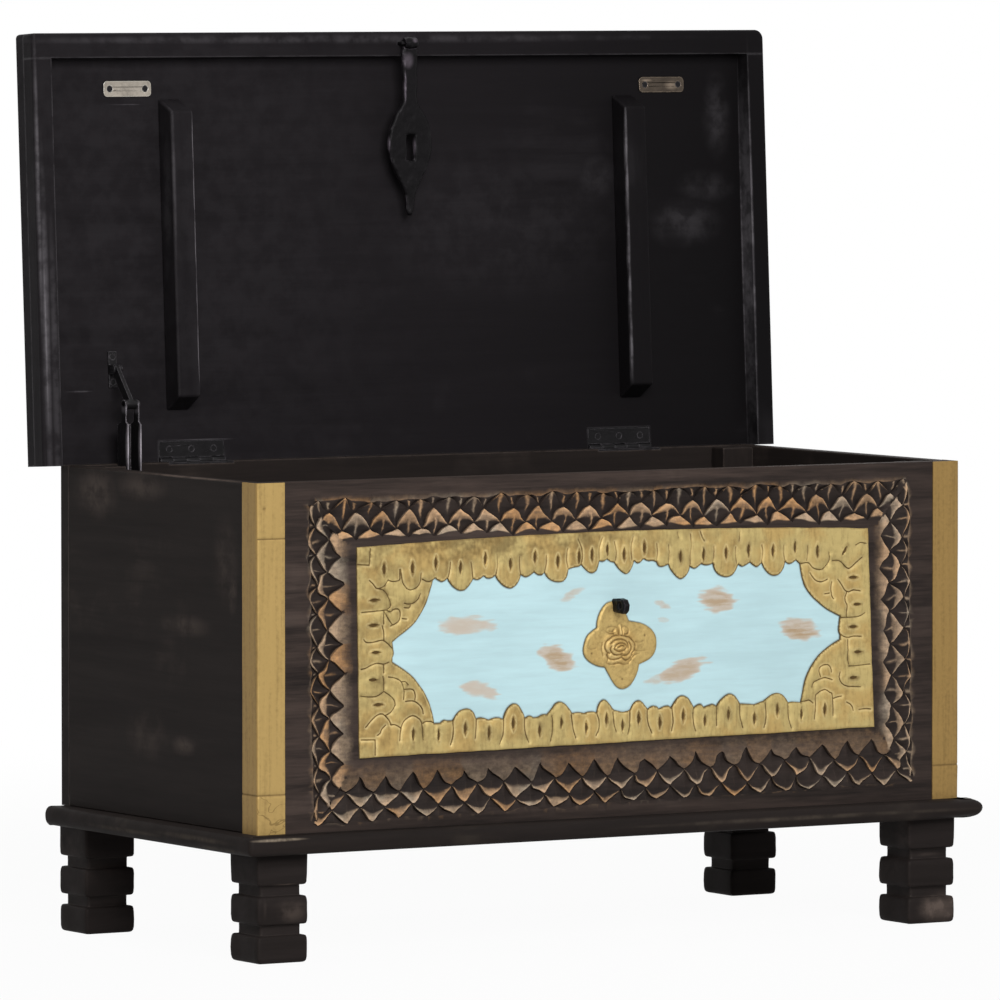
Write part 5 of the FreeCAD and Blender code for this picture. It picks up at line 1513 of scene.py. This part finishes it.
class CHEST_OT_shape_plinth(bpy.types.Operator):
    """Shapes the plinth board with its worn nose"""

    bl_idname = "chest.shape_plinth"
    bl_label = "Shape Plinth"

    def execute(self, context):
        finishes = context.scene.chest_finishes
        colours = (finishes.stain_deep, finishes.stain, finishes.bare_grey)
        material = stained_wood("stained_plinth", "X", colours, rubbing=0.12, spots=PLINTH_SPOTS, arris=0.2)
        low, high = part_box("plinth_board")
        middle, half, turns = (low.z + high.z) / 2, (high.z - low.z) / 2, 12
        path = self.path(low, high)
        points = []
        for turn in range(turns + 1):
            angle = math.pi * (turn / turns - 0.5)
            for x, y, out_x, out_y, nose in path:
                stray = NOSE_UNEVEN * noise.noise(Vector((x * 25, y * 25, angle)))
                inset = nose * (1 - max(0.0, math.cos(angle)) ** NOSE_FULLNESS) - stray * math.cos(angle)
                inset -= max(0.0, nose - NOSE_SWELL) * 0.3 * math.cos(angle)
                points.append((x - out_x * inset, y - out_y * inset, middle + half * math.sin(angle)))
        faces = stacked(len(path), turns + 1)
        piece(
            "shaped_plinth", points, faces, material, "chest", None, ["plinth_board"], sharp=50
        )
        return {"FINISHED"}

    def path(self, low, high):
        """Places round the board from the back left corner, with the way out and the depth of the nose."""
        left, right, back = PLINTH_CORNERS
        plain, worn, sharp = PLINTH_NOSES
        run = PLINTH_RUN
        path = []

        def straight(start, end, out, noses, steps):
            """Straight edge, whose nose changes close to its end."""
            for i in range(steps):
                share = i / steps
                x, y = (a + (b - a) * share for a, b in zip(start, end))
                path.append((x, y, *out, noses[0] + (noses[1] - noses[0]) * eased(share, 0.9, 1)))

        def corner(x, y, radius, start, noses):
            """Quarter turn round a corner."""
            for i in range(6):
                angle = start + math.pi / 2 * i / 6
                out = (math.cos(angle), math.sin(angle))
                nose = noses[0] + (noses[1] - noses[0]) * i / 6
                path.append((x + radius * out[0], y + radius * out[1], *out, nose))

        straight((low.x, high.y - back), (low.x, low.y + left), (-1, 0), (plain, plain), 24)
        corner(low.x + left, low.y + left, left, math.pi, (plain, plain))
        straight((low.x + left, low.y), (high.x - right, low.y), (0, -1), (plain, worn), 60)
        corner(high.x - right, low.y + right, right, -math.pi / 2, (worn, worn))
        straight((high.x, low.y + right), (high.x, high.y - back), (1, 0), (worn, plain), 24)
        corner(high.x - back, high.y - back, back, 0, (plain, plain))
        straight((high.x - back, high.y), (high.x - run, high.y), (0, 1), (plain, sharp), 12)
        straight((high.x - run, high.y), (low.x + back, high.y), (0, 1), (sharp, plain), 60)
        corner(low.x + back, high.y - back, back, math.pi / 2, (plain, plain))
        return path


# Nodes that keep their shape and get a finish

WOOD_NODES = {
    "X": ("back_board",),
    "Y": ("left_board", "right_board"),
    "Z": ("post_front_left", "post_front_right", "post_back_left", "post_back_right", "foot_dowels"),
}
LID_NODES = {
    "X": ("lid_panel", "lid_rim_front"),
    "Z": ("lid_rim_left", "lid_rim_right", "lid_batten_left", "lid_batten_right"),
}
# Rubbed spots: middle and size in metres, and how far the stain is gone
BOARD_SPOTS = (
    ((-0.38, -0.06, 0.438), (0.006, 0.13, 0.0018), 1.3),
    ((-0.382, -0.14, 0.34), (0.01, 0.012, 0.03), 0.5),
    ((-0.382, -0.05, 0.19), (0.01, 0.03, 0.012), 0.45),
    ((-0.382, 0.118, 0.415), (0.06, 0.05, 0.032), 0.5),
    ((-0.382, 0.03, 0.425), (0.06, 0.06, 0.018), 0.4),
    ((-0.382, -0.128, 0.364), (0.06, 0.03, 0.05), 0.3),
    ((-0.382, -0.052, 0.301), (0.06, 0.06, 0.014), 0.4),
    ((-0.382, 0.02, 0.195), (0.06, 0.05, 0.03), 0.25),
)
# Spots of the lid in the same columns: rubs and scratches, a broad painted light on its left, painted
# highlights down the left and right rims and along the top edge, and bright painted flecks on the left batten
LID_RUBS_AND_HIGHLIGHTS = (
    ((0.32, 0.2, 0.655), (0.05, 0.3, 0.03), 0.14),
    ((0.36, 0.2, 0.76), (0.02, 0.3, 0.05), 0.14),
    ((0.22, 0.2, 0.7), (0.03, 0.3, 0.03), 0.1),
    ((0.345, 0.2, 0.69), (0.04, 0.3, 0.02), 0.1),
    ((0.1, 0.2, 0.66), (0.2, 0.3, 0.1), 0.05),
    ((-0.27, 0.2, 0.66), (0.4, 0.5, 0.45), 0.04),
    ((-0.4, 0.19, 0.57), (0.006, 0.1, 0.22), 0.42),
    ((-0.4005, 0.19, 0.56), (0.0022, 0.1, 0.14), 0.8),
    ((-0.3915, 0.19, 0.53), (0.006, 0.1, 0.2), 0.25),
    ((-0.404, 0.19, 0.7), (0.003, 0.1, 0.2), 0.5),
    ((0.387, 0.19, 0.62), (0.0026, 0.1, 0.24), 0.6),
    ((-0.1, 0.195, 0.836), (0.5, 0.1, 0.006), 0.25),
    ((-0.262, 0.19, 0.68), (0.003, 0.02, 0.14), 0.5),
    ((-0.224, 0.192, 0.4575), (0.04, 0.02, 0.0012), 0.7),
    ((-0.357, 0.192, 0.506), (0.018, 0.02, 0.0012), 0.5),
    ((-0.3, 0.2, 0.775), (0.03, 0.02, 0.001), 0.5),
)
# Painted highlights along the inner arrises of the battens, which lean back with the lid from the foot of the
# batten
LID_LEAN = 0.054
BATTEN_FOOT = (0.1683, 0.4857)
ARRIS_SIZE = (0.0024, 0.0045, 0.05)
LID_RUBS_AND_HIGHLIGHTS += tuple(
    ((x, BATTEN_FOOT[0] + (z - BATTEN_FOOT[1]) * LID_LEAN, z), ARRIS_SIZE, share)
    for x, share in ((-0.24, 2.6), (0.24, 1.1))
    for z in (0.54, 0.59, 0.64, 0.69, 0.74)
)
# Painted shade on the right side of the lid, away from the light
LID_PAINTED_SHADE = (((0.44, 0.2, 0.62), (0.42, 1.0, 0.6), 0.95),)
FOOT_SPOTS = (
    ((-0.345, -0.187, 0.047), (0.025, 0.012, 0.014), 0.5),
    ((-0.373, -0.19, 0.045), (0.004, 0.006, 0.05), 0.7),
    ((-0.35, -0.187, 0.0715), (0.02, 0.008, 0.0015), 0.9),
    ((0.3235, -0.19, 0.045), (0.004, 0.006, 0.05), 0.5),
    ((0.35, -0.187, 0.0655), (0.03, 0.012, 0.003), 0.5),
    ((0.365, -0.187, 0.014), (0.032, 0.02, 0.02), 1.3),
)


class CHEST_OT_stain_wood(bpy.types.Operator):
    """Stains the carcase and the lid"""

    bl_idname = "chest.stain_wood"
    bl_label = "Stain Wood"

    def execute(self, context):
        finishes = context.scene.chest_finishes
        carcase = (finishes.stain_deep, finishes.stain, finishes.stain_worn)
        lid_deep = tuple(channel * 0.88 for channel in finishes.lid_stain)
        lid = (lid_deep, finishes.lid_stain, finishes.lid_worn_and_highlight)
        for along, nodes in WOOD_NODES.items():
            material = stained_wood("stained_wood_" + along.lower(), along, carcase, spots=BOARD_SPOTS)
            for node in nodes:
                dress(node, material, BOARD_ARRIS)
        for along, nodes in LID_NODES.items():
            material = stained_wood(
                "stained_lid_" + along.lower(), along, lid, rubbing=0.05, spots=LID_RUBS_AND_HIGHLIGHTS, arris=0.2,
                painted_shade=LID_PAINTED_SHADE,
            )
            for node in nodes:
                dress(node, material, LID_ARRIS)
        return {"FINISHED"}


# Forged hasp, in millimetres: its thickness, and distances below its pivot with half widths
HASP_THICK = 4
HASP_HALVES = (
    (3.2, 7.5), (10, 8), (29, 7.6), (44, 7.4), (57, 8.5), (66, 14.5), (76, 19.6), (87, 23.2), (98, 24),
    (109, 22.2), (121, 17.5), (132, 11.5), (141, 6.5), (150, 4.6), (160, 3.4), (164.5, 1.5),
)
# Corners of its slot, and its painted highlights: middle and size in metres
HASP_SLOT = ((-4, -112), (4, -112), (4, -88), (-4, -88))
HASP_HIGHLIGHTS = (
    ((-0.003, 0.185, 0.815), (0.008, 0.03, 0.01)),
    ((-0.0235, 0.185, 0.734), (0.0016, 0.03, 0.012)),
    ((0.0045, 0.185, 0.732), (0.0014, 0.03, 0.011)),
    ((0.003, 0.182, 0.834), (0.004, 0.01, 0.003)),
    ((-0.006, 0.185, 0.79), (0.0015, 0.03, 0.02)),
)
# Forged staple, in millimetres: its thickness, how far its blank starts to the left of it,
# places out from the board and up, and its hole
STAPLE_THICK, STAPLE_START = 6.4, 0.4
STAPLE = ((-12, 2.5), (10, 1.2), (16.5, 0.6), (20.5, 4), (21.5, 9), (18, 13.6), (11, 14.8), (-12, 13))
STAPLE_HOLE = (
    (10, 7.5), (11.3, 5.2), (14, 4.6), (16.2, 6.2), (16.6, 8.6), (15, 10.6), (12.2, 10.8), (10.5, 9.6),
)


class CHEST_OT_forge_hasp(bpy.types.Operator):
    """Forges the hasp with its rolled eye, and its staple"""

    bl_idname = "chest.forge_hasp"
    bl_label = "Forge Hasp"

    def execute(self, context):
        finishes = context.scene.chest_finishes
        iron = metal(
            "forged_iron", finishes.iron, rough=0.42, pits=0.0016, metallic=0.4, scale=120, lift=4.2,
            spots=HASP_HIGHLIGHTS,
        )
        low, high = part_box("hasp")
        roll = (high.y - low.y) / 2
        pivot = Vector((0, low.y + roll, high.z - roll))
        front = pivot.y - HASP_THICK / 2 * MM

        def place(x, up, depth):
            """Point of the strap from a place across and above the pivot."""
            return Vector((x * MM, front + depth * MM, pivot.z + up * MM))

        right = flowing([(half, -down) for down, half in HASP_HALVES], step=2)
        loops = [np.vstack([right, right[::-1] * (-1, 1)]), spaced(HASP_SLOT, 2, closed=True)]
        rims = [ringed(loop) for loop in loops]
        fill = filling(loops, step=1.6, rim_room=0.7)

        def height(spots):
            """Hammer marks and soft arrises."""
            beaten = 0.8 * ripple(spots, 0.13, 3.3) + 0.4 * ripple(spots, 0.35, 5.9)
            rise = beaten - 1.6 * (1 - eased(line_gap(spots, rims), 0, 2.4)) ** 2
            stray = np.column_stack([ripple(spots, 0.08, 1.7), np.zeros(len(spots))])
            return np.clip(rise, -1.7, 0.6), spots + 1.2 * stray, {}

        points, faces, _ = relief(loops, [], fill, [HASP_THICK] * 2, height, place)
        more, ring_faces = self.rolled_eye(pivot, roll)
        faces += [[i + len(points) for i in face] for face in ring_faces]
        piece("forged_hasp", points + more, faces, iron, "hasp", None, ["hasp"], sharp=50)
        dress("hasp_eye", iron, ROD_ARRIS)
        self.staple(iron)
        return {"FINISHED"}

    def staple(self, iron):
        """Hammered staple, made flat and set on edge in the board."""
        low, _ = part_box("hasp_staple")

        def place(out, up, depth):
            """Point of the staple from a place out of the board and up."""
            return Vector((low.x + (depth - STAPLE_START) * MM, BOARD_LOW.y - out * MM, low.z + up * MM))

        loops = [spaced(STAPLE, 1.5, closed=True), np.array(STAPLE_HOLE, float)]
        rims = [ringed(loop) for loop in loops]
        fill = filling(loops, step=1.2, rim_room=0.5)

        def height(spots):
            """Hammer marks and soft arrises."""
            beaten = 0.9 * ripple(spots, 0.16, 2.1) + 0.4 * ripple(spots, 0.4, 4.4)
            return np.clip(beaten - 1.2 * (1 - eased(line_gap(spots, rims), 0, 2)) ** 2, -1.4, 0.5), spots, {}

        points, faces, _ = relief(loops, [], fill, [STAPLE_THICK] * 2, height, place)
        piece("forged_staple", points, faces, iron, "chest", None, ["hasp_staple"], sharp=40)

    def rolled_eye(self, pivot, roll):
        """Hammered tube round the pivot."""
        bore, half, turns, rings = 0.0029, 0.0065, 22, 9
        points, faces = [], []
        for ring in range(rings):
            across = 2 * ring / (rings - 1) - 1
            for turn in range(turns):
                angle = math.tau * turn / turns
                way = Vector((0, math.cos(angle), math.sin(angle)))
                knock = noise.noise(Vector((across * 2.2, way.y * 2.5, way.z * 2.5)))
                reach = roll * (1.02 - 0.16 * across**2) + 0.0011 * knock
                points.append(pivot + way * reach + Vector((across * half, 0, 0)))
            for turn in range(turns):
                angle = math.tau * turn / turns
                inner = Vector((across * half, bore * math.cos(angle), bore * math.sin(angle)))
                points.append(pivot + inner)
        for ring in range(rings):
            for turn in range(turns):
                a, b = ring * 2 * turns + turn, ring * 2 * turns + (turn + 1) % turns
                if ring < rings - 1:
                    faces.append([a, b, b + 2 * turns, a + 2 * turns][::-1])
                    faces.append([a + turns, b + turns, b + 3 * turns, a + 3 * turns])
                if ring == 0:
                    faces.append([a, b, b + turns, a + turns])
                if ring == rings - 1:
                    faces.append([a, b, b + turns, a + turns][::-1])
        return points, faces


# Stay arm, in metres: its sheet and half the width of its neck,
# then drop of shoulder and neck below the knee and rise of its foot
STAY_SHEET, STAY_NECK = 0.0015, 0.0045
SHOULDER_DROP, NECK_DROP, FOOT_RISE = 0.019, 0.016, 0.004
# Its painted highlights: middle and size in metres
STAY_HIGHLIGHTS = (
    ((-0.329, 0.15, 0.455), (0.006, 0.006, 0.03)),
    ((-0.3145, 0.15, 0.455), (0.006, 0.006, 0.03)),
    ((-0.322, 0.158, 0.49), (0.01, 0.01, 0.008)),
)


class CHEST_OT_press_stay(bpy.types.Operator):
    """Presses the channel of the folding stay"""

    bl_idname = "chest.press_stay"
    bl_label = "Press Stay Arm"

    def execute(self, context):
        finishes = context.scene.chest_finishes
        steel = metal(
            "worn_steel", finishes.steel, rough=0.4, pits=0.0006, metallic=0.3, lift=6, spots=STAY_HIGHLIGHTS
        )
        low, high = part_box("stay_arm")
        pin_low, pin_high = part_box("stay_knee_pin")
        knee_y, knee_z = (pin_low.y + pin_high.y) / 2, (pin_low.z + pin_high.z) / 2
        sheet, neck = STAY_SHEET, STAY_NECK
        foot, shoulder, top = low.z + FOOT_RISE, knee_z - SHOULDER_DROP, knee_z - NECK_DROP
        turns = [math.pi * i / 8 for i in range(9)]
        ear = [(low.y, foot), (high.y, foot), (high.y, shoulder), (knee_y + neck, top)]
        ear += [(knee_y + neck * math.cos(turn), knee_z + neck * math.sin(turn)) for turn in turns]
        ear += [(knee_y - neck, top), (low.y, shoulder)]
        web = [(high.y - sheet, foot), (high.y, foot), (high.y, shoulder), (high.y - sheet, shoulder)]
        points, faces = [], []
        for outline, left, right in (
            (ear, low.x, low.x + sheet), (ear, high.x - sheet, high.x), (web, low.x + sheet, high.x - sheet)
        ):
            faces += [[len(points) + i for i in face] for face in stacked(len(outline), 2)]
            points += [(x, y, z) for x in (left, right) for y, z in outline]
        made = piece(
            "pressed_stay_arm", points, faces, steel, "stay_arm", None, ["stay_arm"], sharp=30
        )
        soften(made, SHEET_ARRIS, segments=2)
        return {"FINISHED"}


# Painted highlights of the right strike plate
PLATE_HIGHLIGHTS = (((0.308, 0.19, 0.789), (0.012, 0.03, 0.007)), ((0.28, 0.19, 0.794), (0.01, 0.03, 0.002)))


class CHEST_OT_fit_hardware(bpy.types.Operator):
    """Finishes the hinges, stay, catches and strike plates"""

    bl_idname = "chest.fit_hardware"
    bl_label = "Fit Hardware"

    def execute(self, context):
        finishes = context.scene.chest_finishes
        steel = metal("dark_steel", finishes.steel, rough=0.42, pits=0.0004, metallic=0.3, lift=3.4)
        plated = metal("plated_steel", finishes.plated, rough=0.35, pits=0.0002)
        bronze = metal("brown_plate", finishes.bronze, rough=0.4, pits=0.0003, lift=2.2, spots=PLATE_HIGHLIGHTS)
        plastic = metal("catch_plastic", finishes.plastic, rough=0.4, pits=0.0002, metallic=0.0)
        magnet = metal("catch_magnet", finishes.magnet, rough=0.5, pits=0.0006, metallic=0.6)
        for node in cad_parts:
            if node.startswith(("hinge_", "stay_")) or node == "strike_screws":
                dress(node, steel, FINE_ARRIS, segments=2)
        dress("strike_plate_left", plated, FINE_ARRIS)
        dress("strike_plate_right", bronze, FINE_ARRIS)
        dress("catch_screws", plated, FINE_ARRIS)
        for side in ("left", "right"):
            dress("catch_housing_" + side, plastic, ROD_ARRIS)
            dress("catch_magnet_" + side, magnet, SHEET_ARRIS)
        return {"FINISHED"}


# Lamps: place, then width and height, in metres, and the point that they face
KEY_LAMP = ((-1.3, -4.2, 2.4), (2.6, 2.2))
TOP_LAMP = ((0.2, 0.4, 4.0), (3.0, 2.0))
LIT_POINT = Vector((0, 0, 0.4))
FLOOR_REACH, FLOOR_TURNS = 40, 64
WHITE = (1, 1, 1, 1)


class CHEST_OT_set_stage(bpy.types.Operator):
    """Sets the floor, the lights, the sky and the camera"""

    bl_idname = "chest.set_stage"
    bl_label = "Set Stage"

    def execute(self, context):
        scene = context.scene
        stage = scene.chest_stage
        scene.view_settings.view_transform = "Standard"
        self.lay_floor(stage)
        self.light_sky(scene, stage)
        self.hang_light("key", *KEY_LAMP, stage.key)
        self.hang_light("top", *TOP_LAMP, stage.top)
        camera = bpy.data.cameras.new("camera")
        camera.sensor_width = 36
        camera.lens = stage.lens
        camera.clip_end = 100
        holder = bpy.data.objects.new("camera", camera)
        holder.location = stage.place
        holder.rotation_euler = (math.pi / 2 - stage.dip, 0, -stage.turn)
        scene.collection.objects.link(holder)
        scene.camera = holder
        return {"FINISHED"}

    def hang_light(self, name, place, size, power):
        """Soft rectangular lamp that points at the chest."""
        lamp = bpy.data.lights.new(name, "AREA")
        lamp.shape = "RECTANGLE"
        lamp.size, lamp.size_y = size
        lamp.energy = power
        holder = bpy.data.objects.new(name, lamp)
        holder.location = place
        holder.rotation_euler = (LIT_POINT - Vector(place)).to_track_quat("-Z", "Y").to_euler()
        holder.visible_camera = False
        bpy.context.scene.collection.objects.link(holder)

    def shown(self, finish):
        """1 for a ray that shows the background, 0 for a ray that only carries light."""
        rays = [
            finish.node("ShaderNodeLightPath", output="Is %s Ray" % kind)
            for kind in ("Camera", "Glossy", "Transmission")
        ]
        return rays[0].most(rays[1]).most(rays[2])

    def lay_floor(self, stage):
        """Round pale floor that takes a soft shadow near the chest and is white further off."""
        angles = [math.tau * i / FLOOR_TURNS for i in range(FLOOR_TURNS)]
        rim = [(FLOOR_REACH * math.cos(angle), FLOOR_REACH * math.sin(angle), 0) for angle in angles]
        mesh = bpy.data.meshes.new("floor")
        mesh.from_pydata(rim, [], [list(range(FLOOR_TURNS))])
        floor = bpy.data.objects.new("floor", mesh)
        bpy.context.scene.collection.objects.link(floor)
        finish = Finish("floor")
        far = finish.node("ShaderNodeVectorMath", {"operation": "LENGTH"}, (finish.place(),), "Value")
        white = self.shown(finish) * (0.96 + 0.04 * far.ease(0.8, 2.2))
        plain = finish.node("ShaderNodeBsdfDiffuse", {}, {"Color": paintable(stage.floor)}, "BSDF")
        glow = finish.node("ShaderNodeEmission", {}, {"Color": WHITE, "Strength": 1}, "Emission")
        both = finish.node("ShaderNodeMixShader", {}, (white, plain, glow), "Shader")
        finish.node("ShaderNodeOutputMaterial", {}, {"Surface": both})
        mesh.materials.append(finish.material)
        floor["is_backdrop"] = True

    def light_sky(self, scene, stage):
        """Even light from all round, white where it is seen."""
        sky = Finish("sky", bpy.data.worlds.new("sky"))
        strength = stage.ambient + (1 - stage.ambient) * self.shown(sky)
        glow = sky.node("ShaderNodeBackground", {}, {"Color": WHITE, "Strength": strength}, "Background")
        sky.node("ShaderNodeOutputWorld", {}, {"Surface": glow})
        scene.world = sky.material


STEPS = (
    "stain_wood",
    "cut_feet",
    "shape_plinth",
    "carve_front",
    "paint_panel",
    "emboss_frame",
    "press_medallion",
    "fold_strips",
    "fit_hardware",
    "forge_hasp",
    "press_stay",
    "set_stage",
)


class CHEST_PT_dress(bpy.types.Panel):
    """Steps that dress the chest"""

    bl_idname = "CHEST_PT_dress"
    bl_label = "Storage Chest"
    bl_space_type = "VIEW_3D"
    bl_region_type = "UI"
    bl_category = "Chest"

    def draw(self, context):
        column = self.layout.column(align=True)
        for step in STEPS:
            column.operator("chest." + step)


CLASSES = (
    ChestFinishes,
    ChestCarving,
    ChestBrass,
    ChestStage,
    CHEST_OT_stain_wood,
    CHEST_OT_cut_feet,
    CHEST_OT_shape_plinth,
    CHEST_OT_carve_front,
    CHEST_OT_paint_panel,
    CHEST_OT_emboss_frame,
    CHEST_OT_press_medallion,
    CHEST_OT_fold_strips,
    CHEST_OT_fit_hardware,
    CHEST_OT_forge_hasp,
    CHEST_OT_press_stay,
    CHEST_OT_set_stage,
    CHEST_PT_dress,
)
SETTINGS = {
    "chest_finishes": ChestFinishes,
    "chest_carving": ChestCarving,
    "chest_brass": ChestBrass,
    "chest_stage": ChestStage,
}


def register():
    """Adds the classes and their settings."""
    for entry in CLASSES:
        bpy.utils.register_class(entry)
    for name, group in SETTINGS.items():
        setattr(bpy.types.Scene, name, bpy.props.PointerProperty(type=group))


def unregister():
    """Takes the settings and the classes away."""
    for name in SETTINGS:
        delattr(bpy.types.Scene, name)
    for entry in reversed(CLASSES):
        bpy.utils.unregister_class(entry)


def main():
    """Dresses the chest step by step and works out the bounds of the CAD and of the dressed chest."""
    register()
    for step in STEPS:
        getattr(bpy.ops.chest, step)()
    boxes = {"cad": CAD_BOX, "visual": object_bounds()}
    {name: [list(corner) for corner in box] for name, box in boxes.items()}


if __name__ == "__main__":
    main()
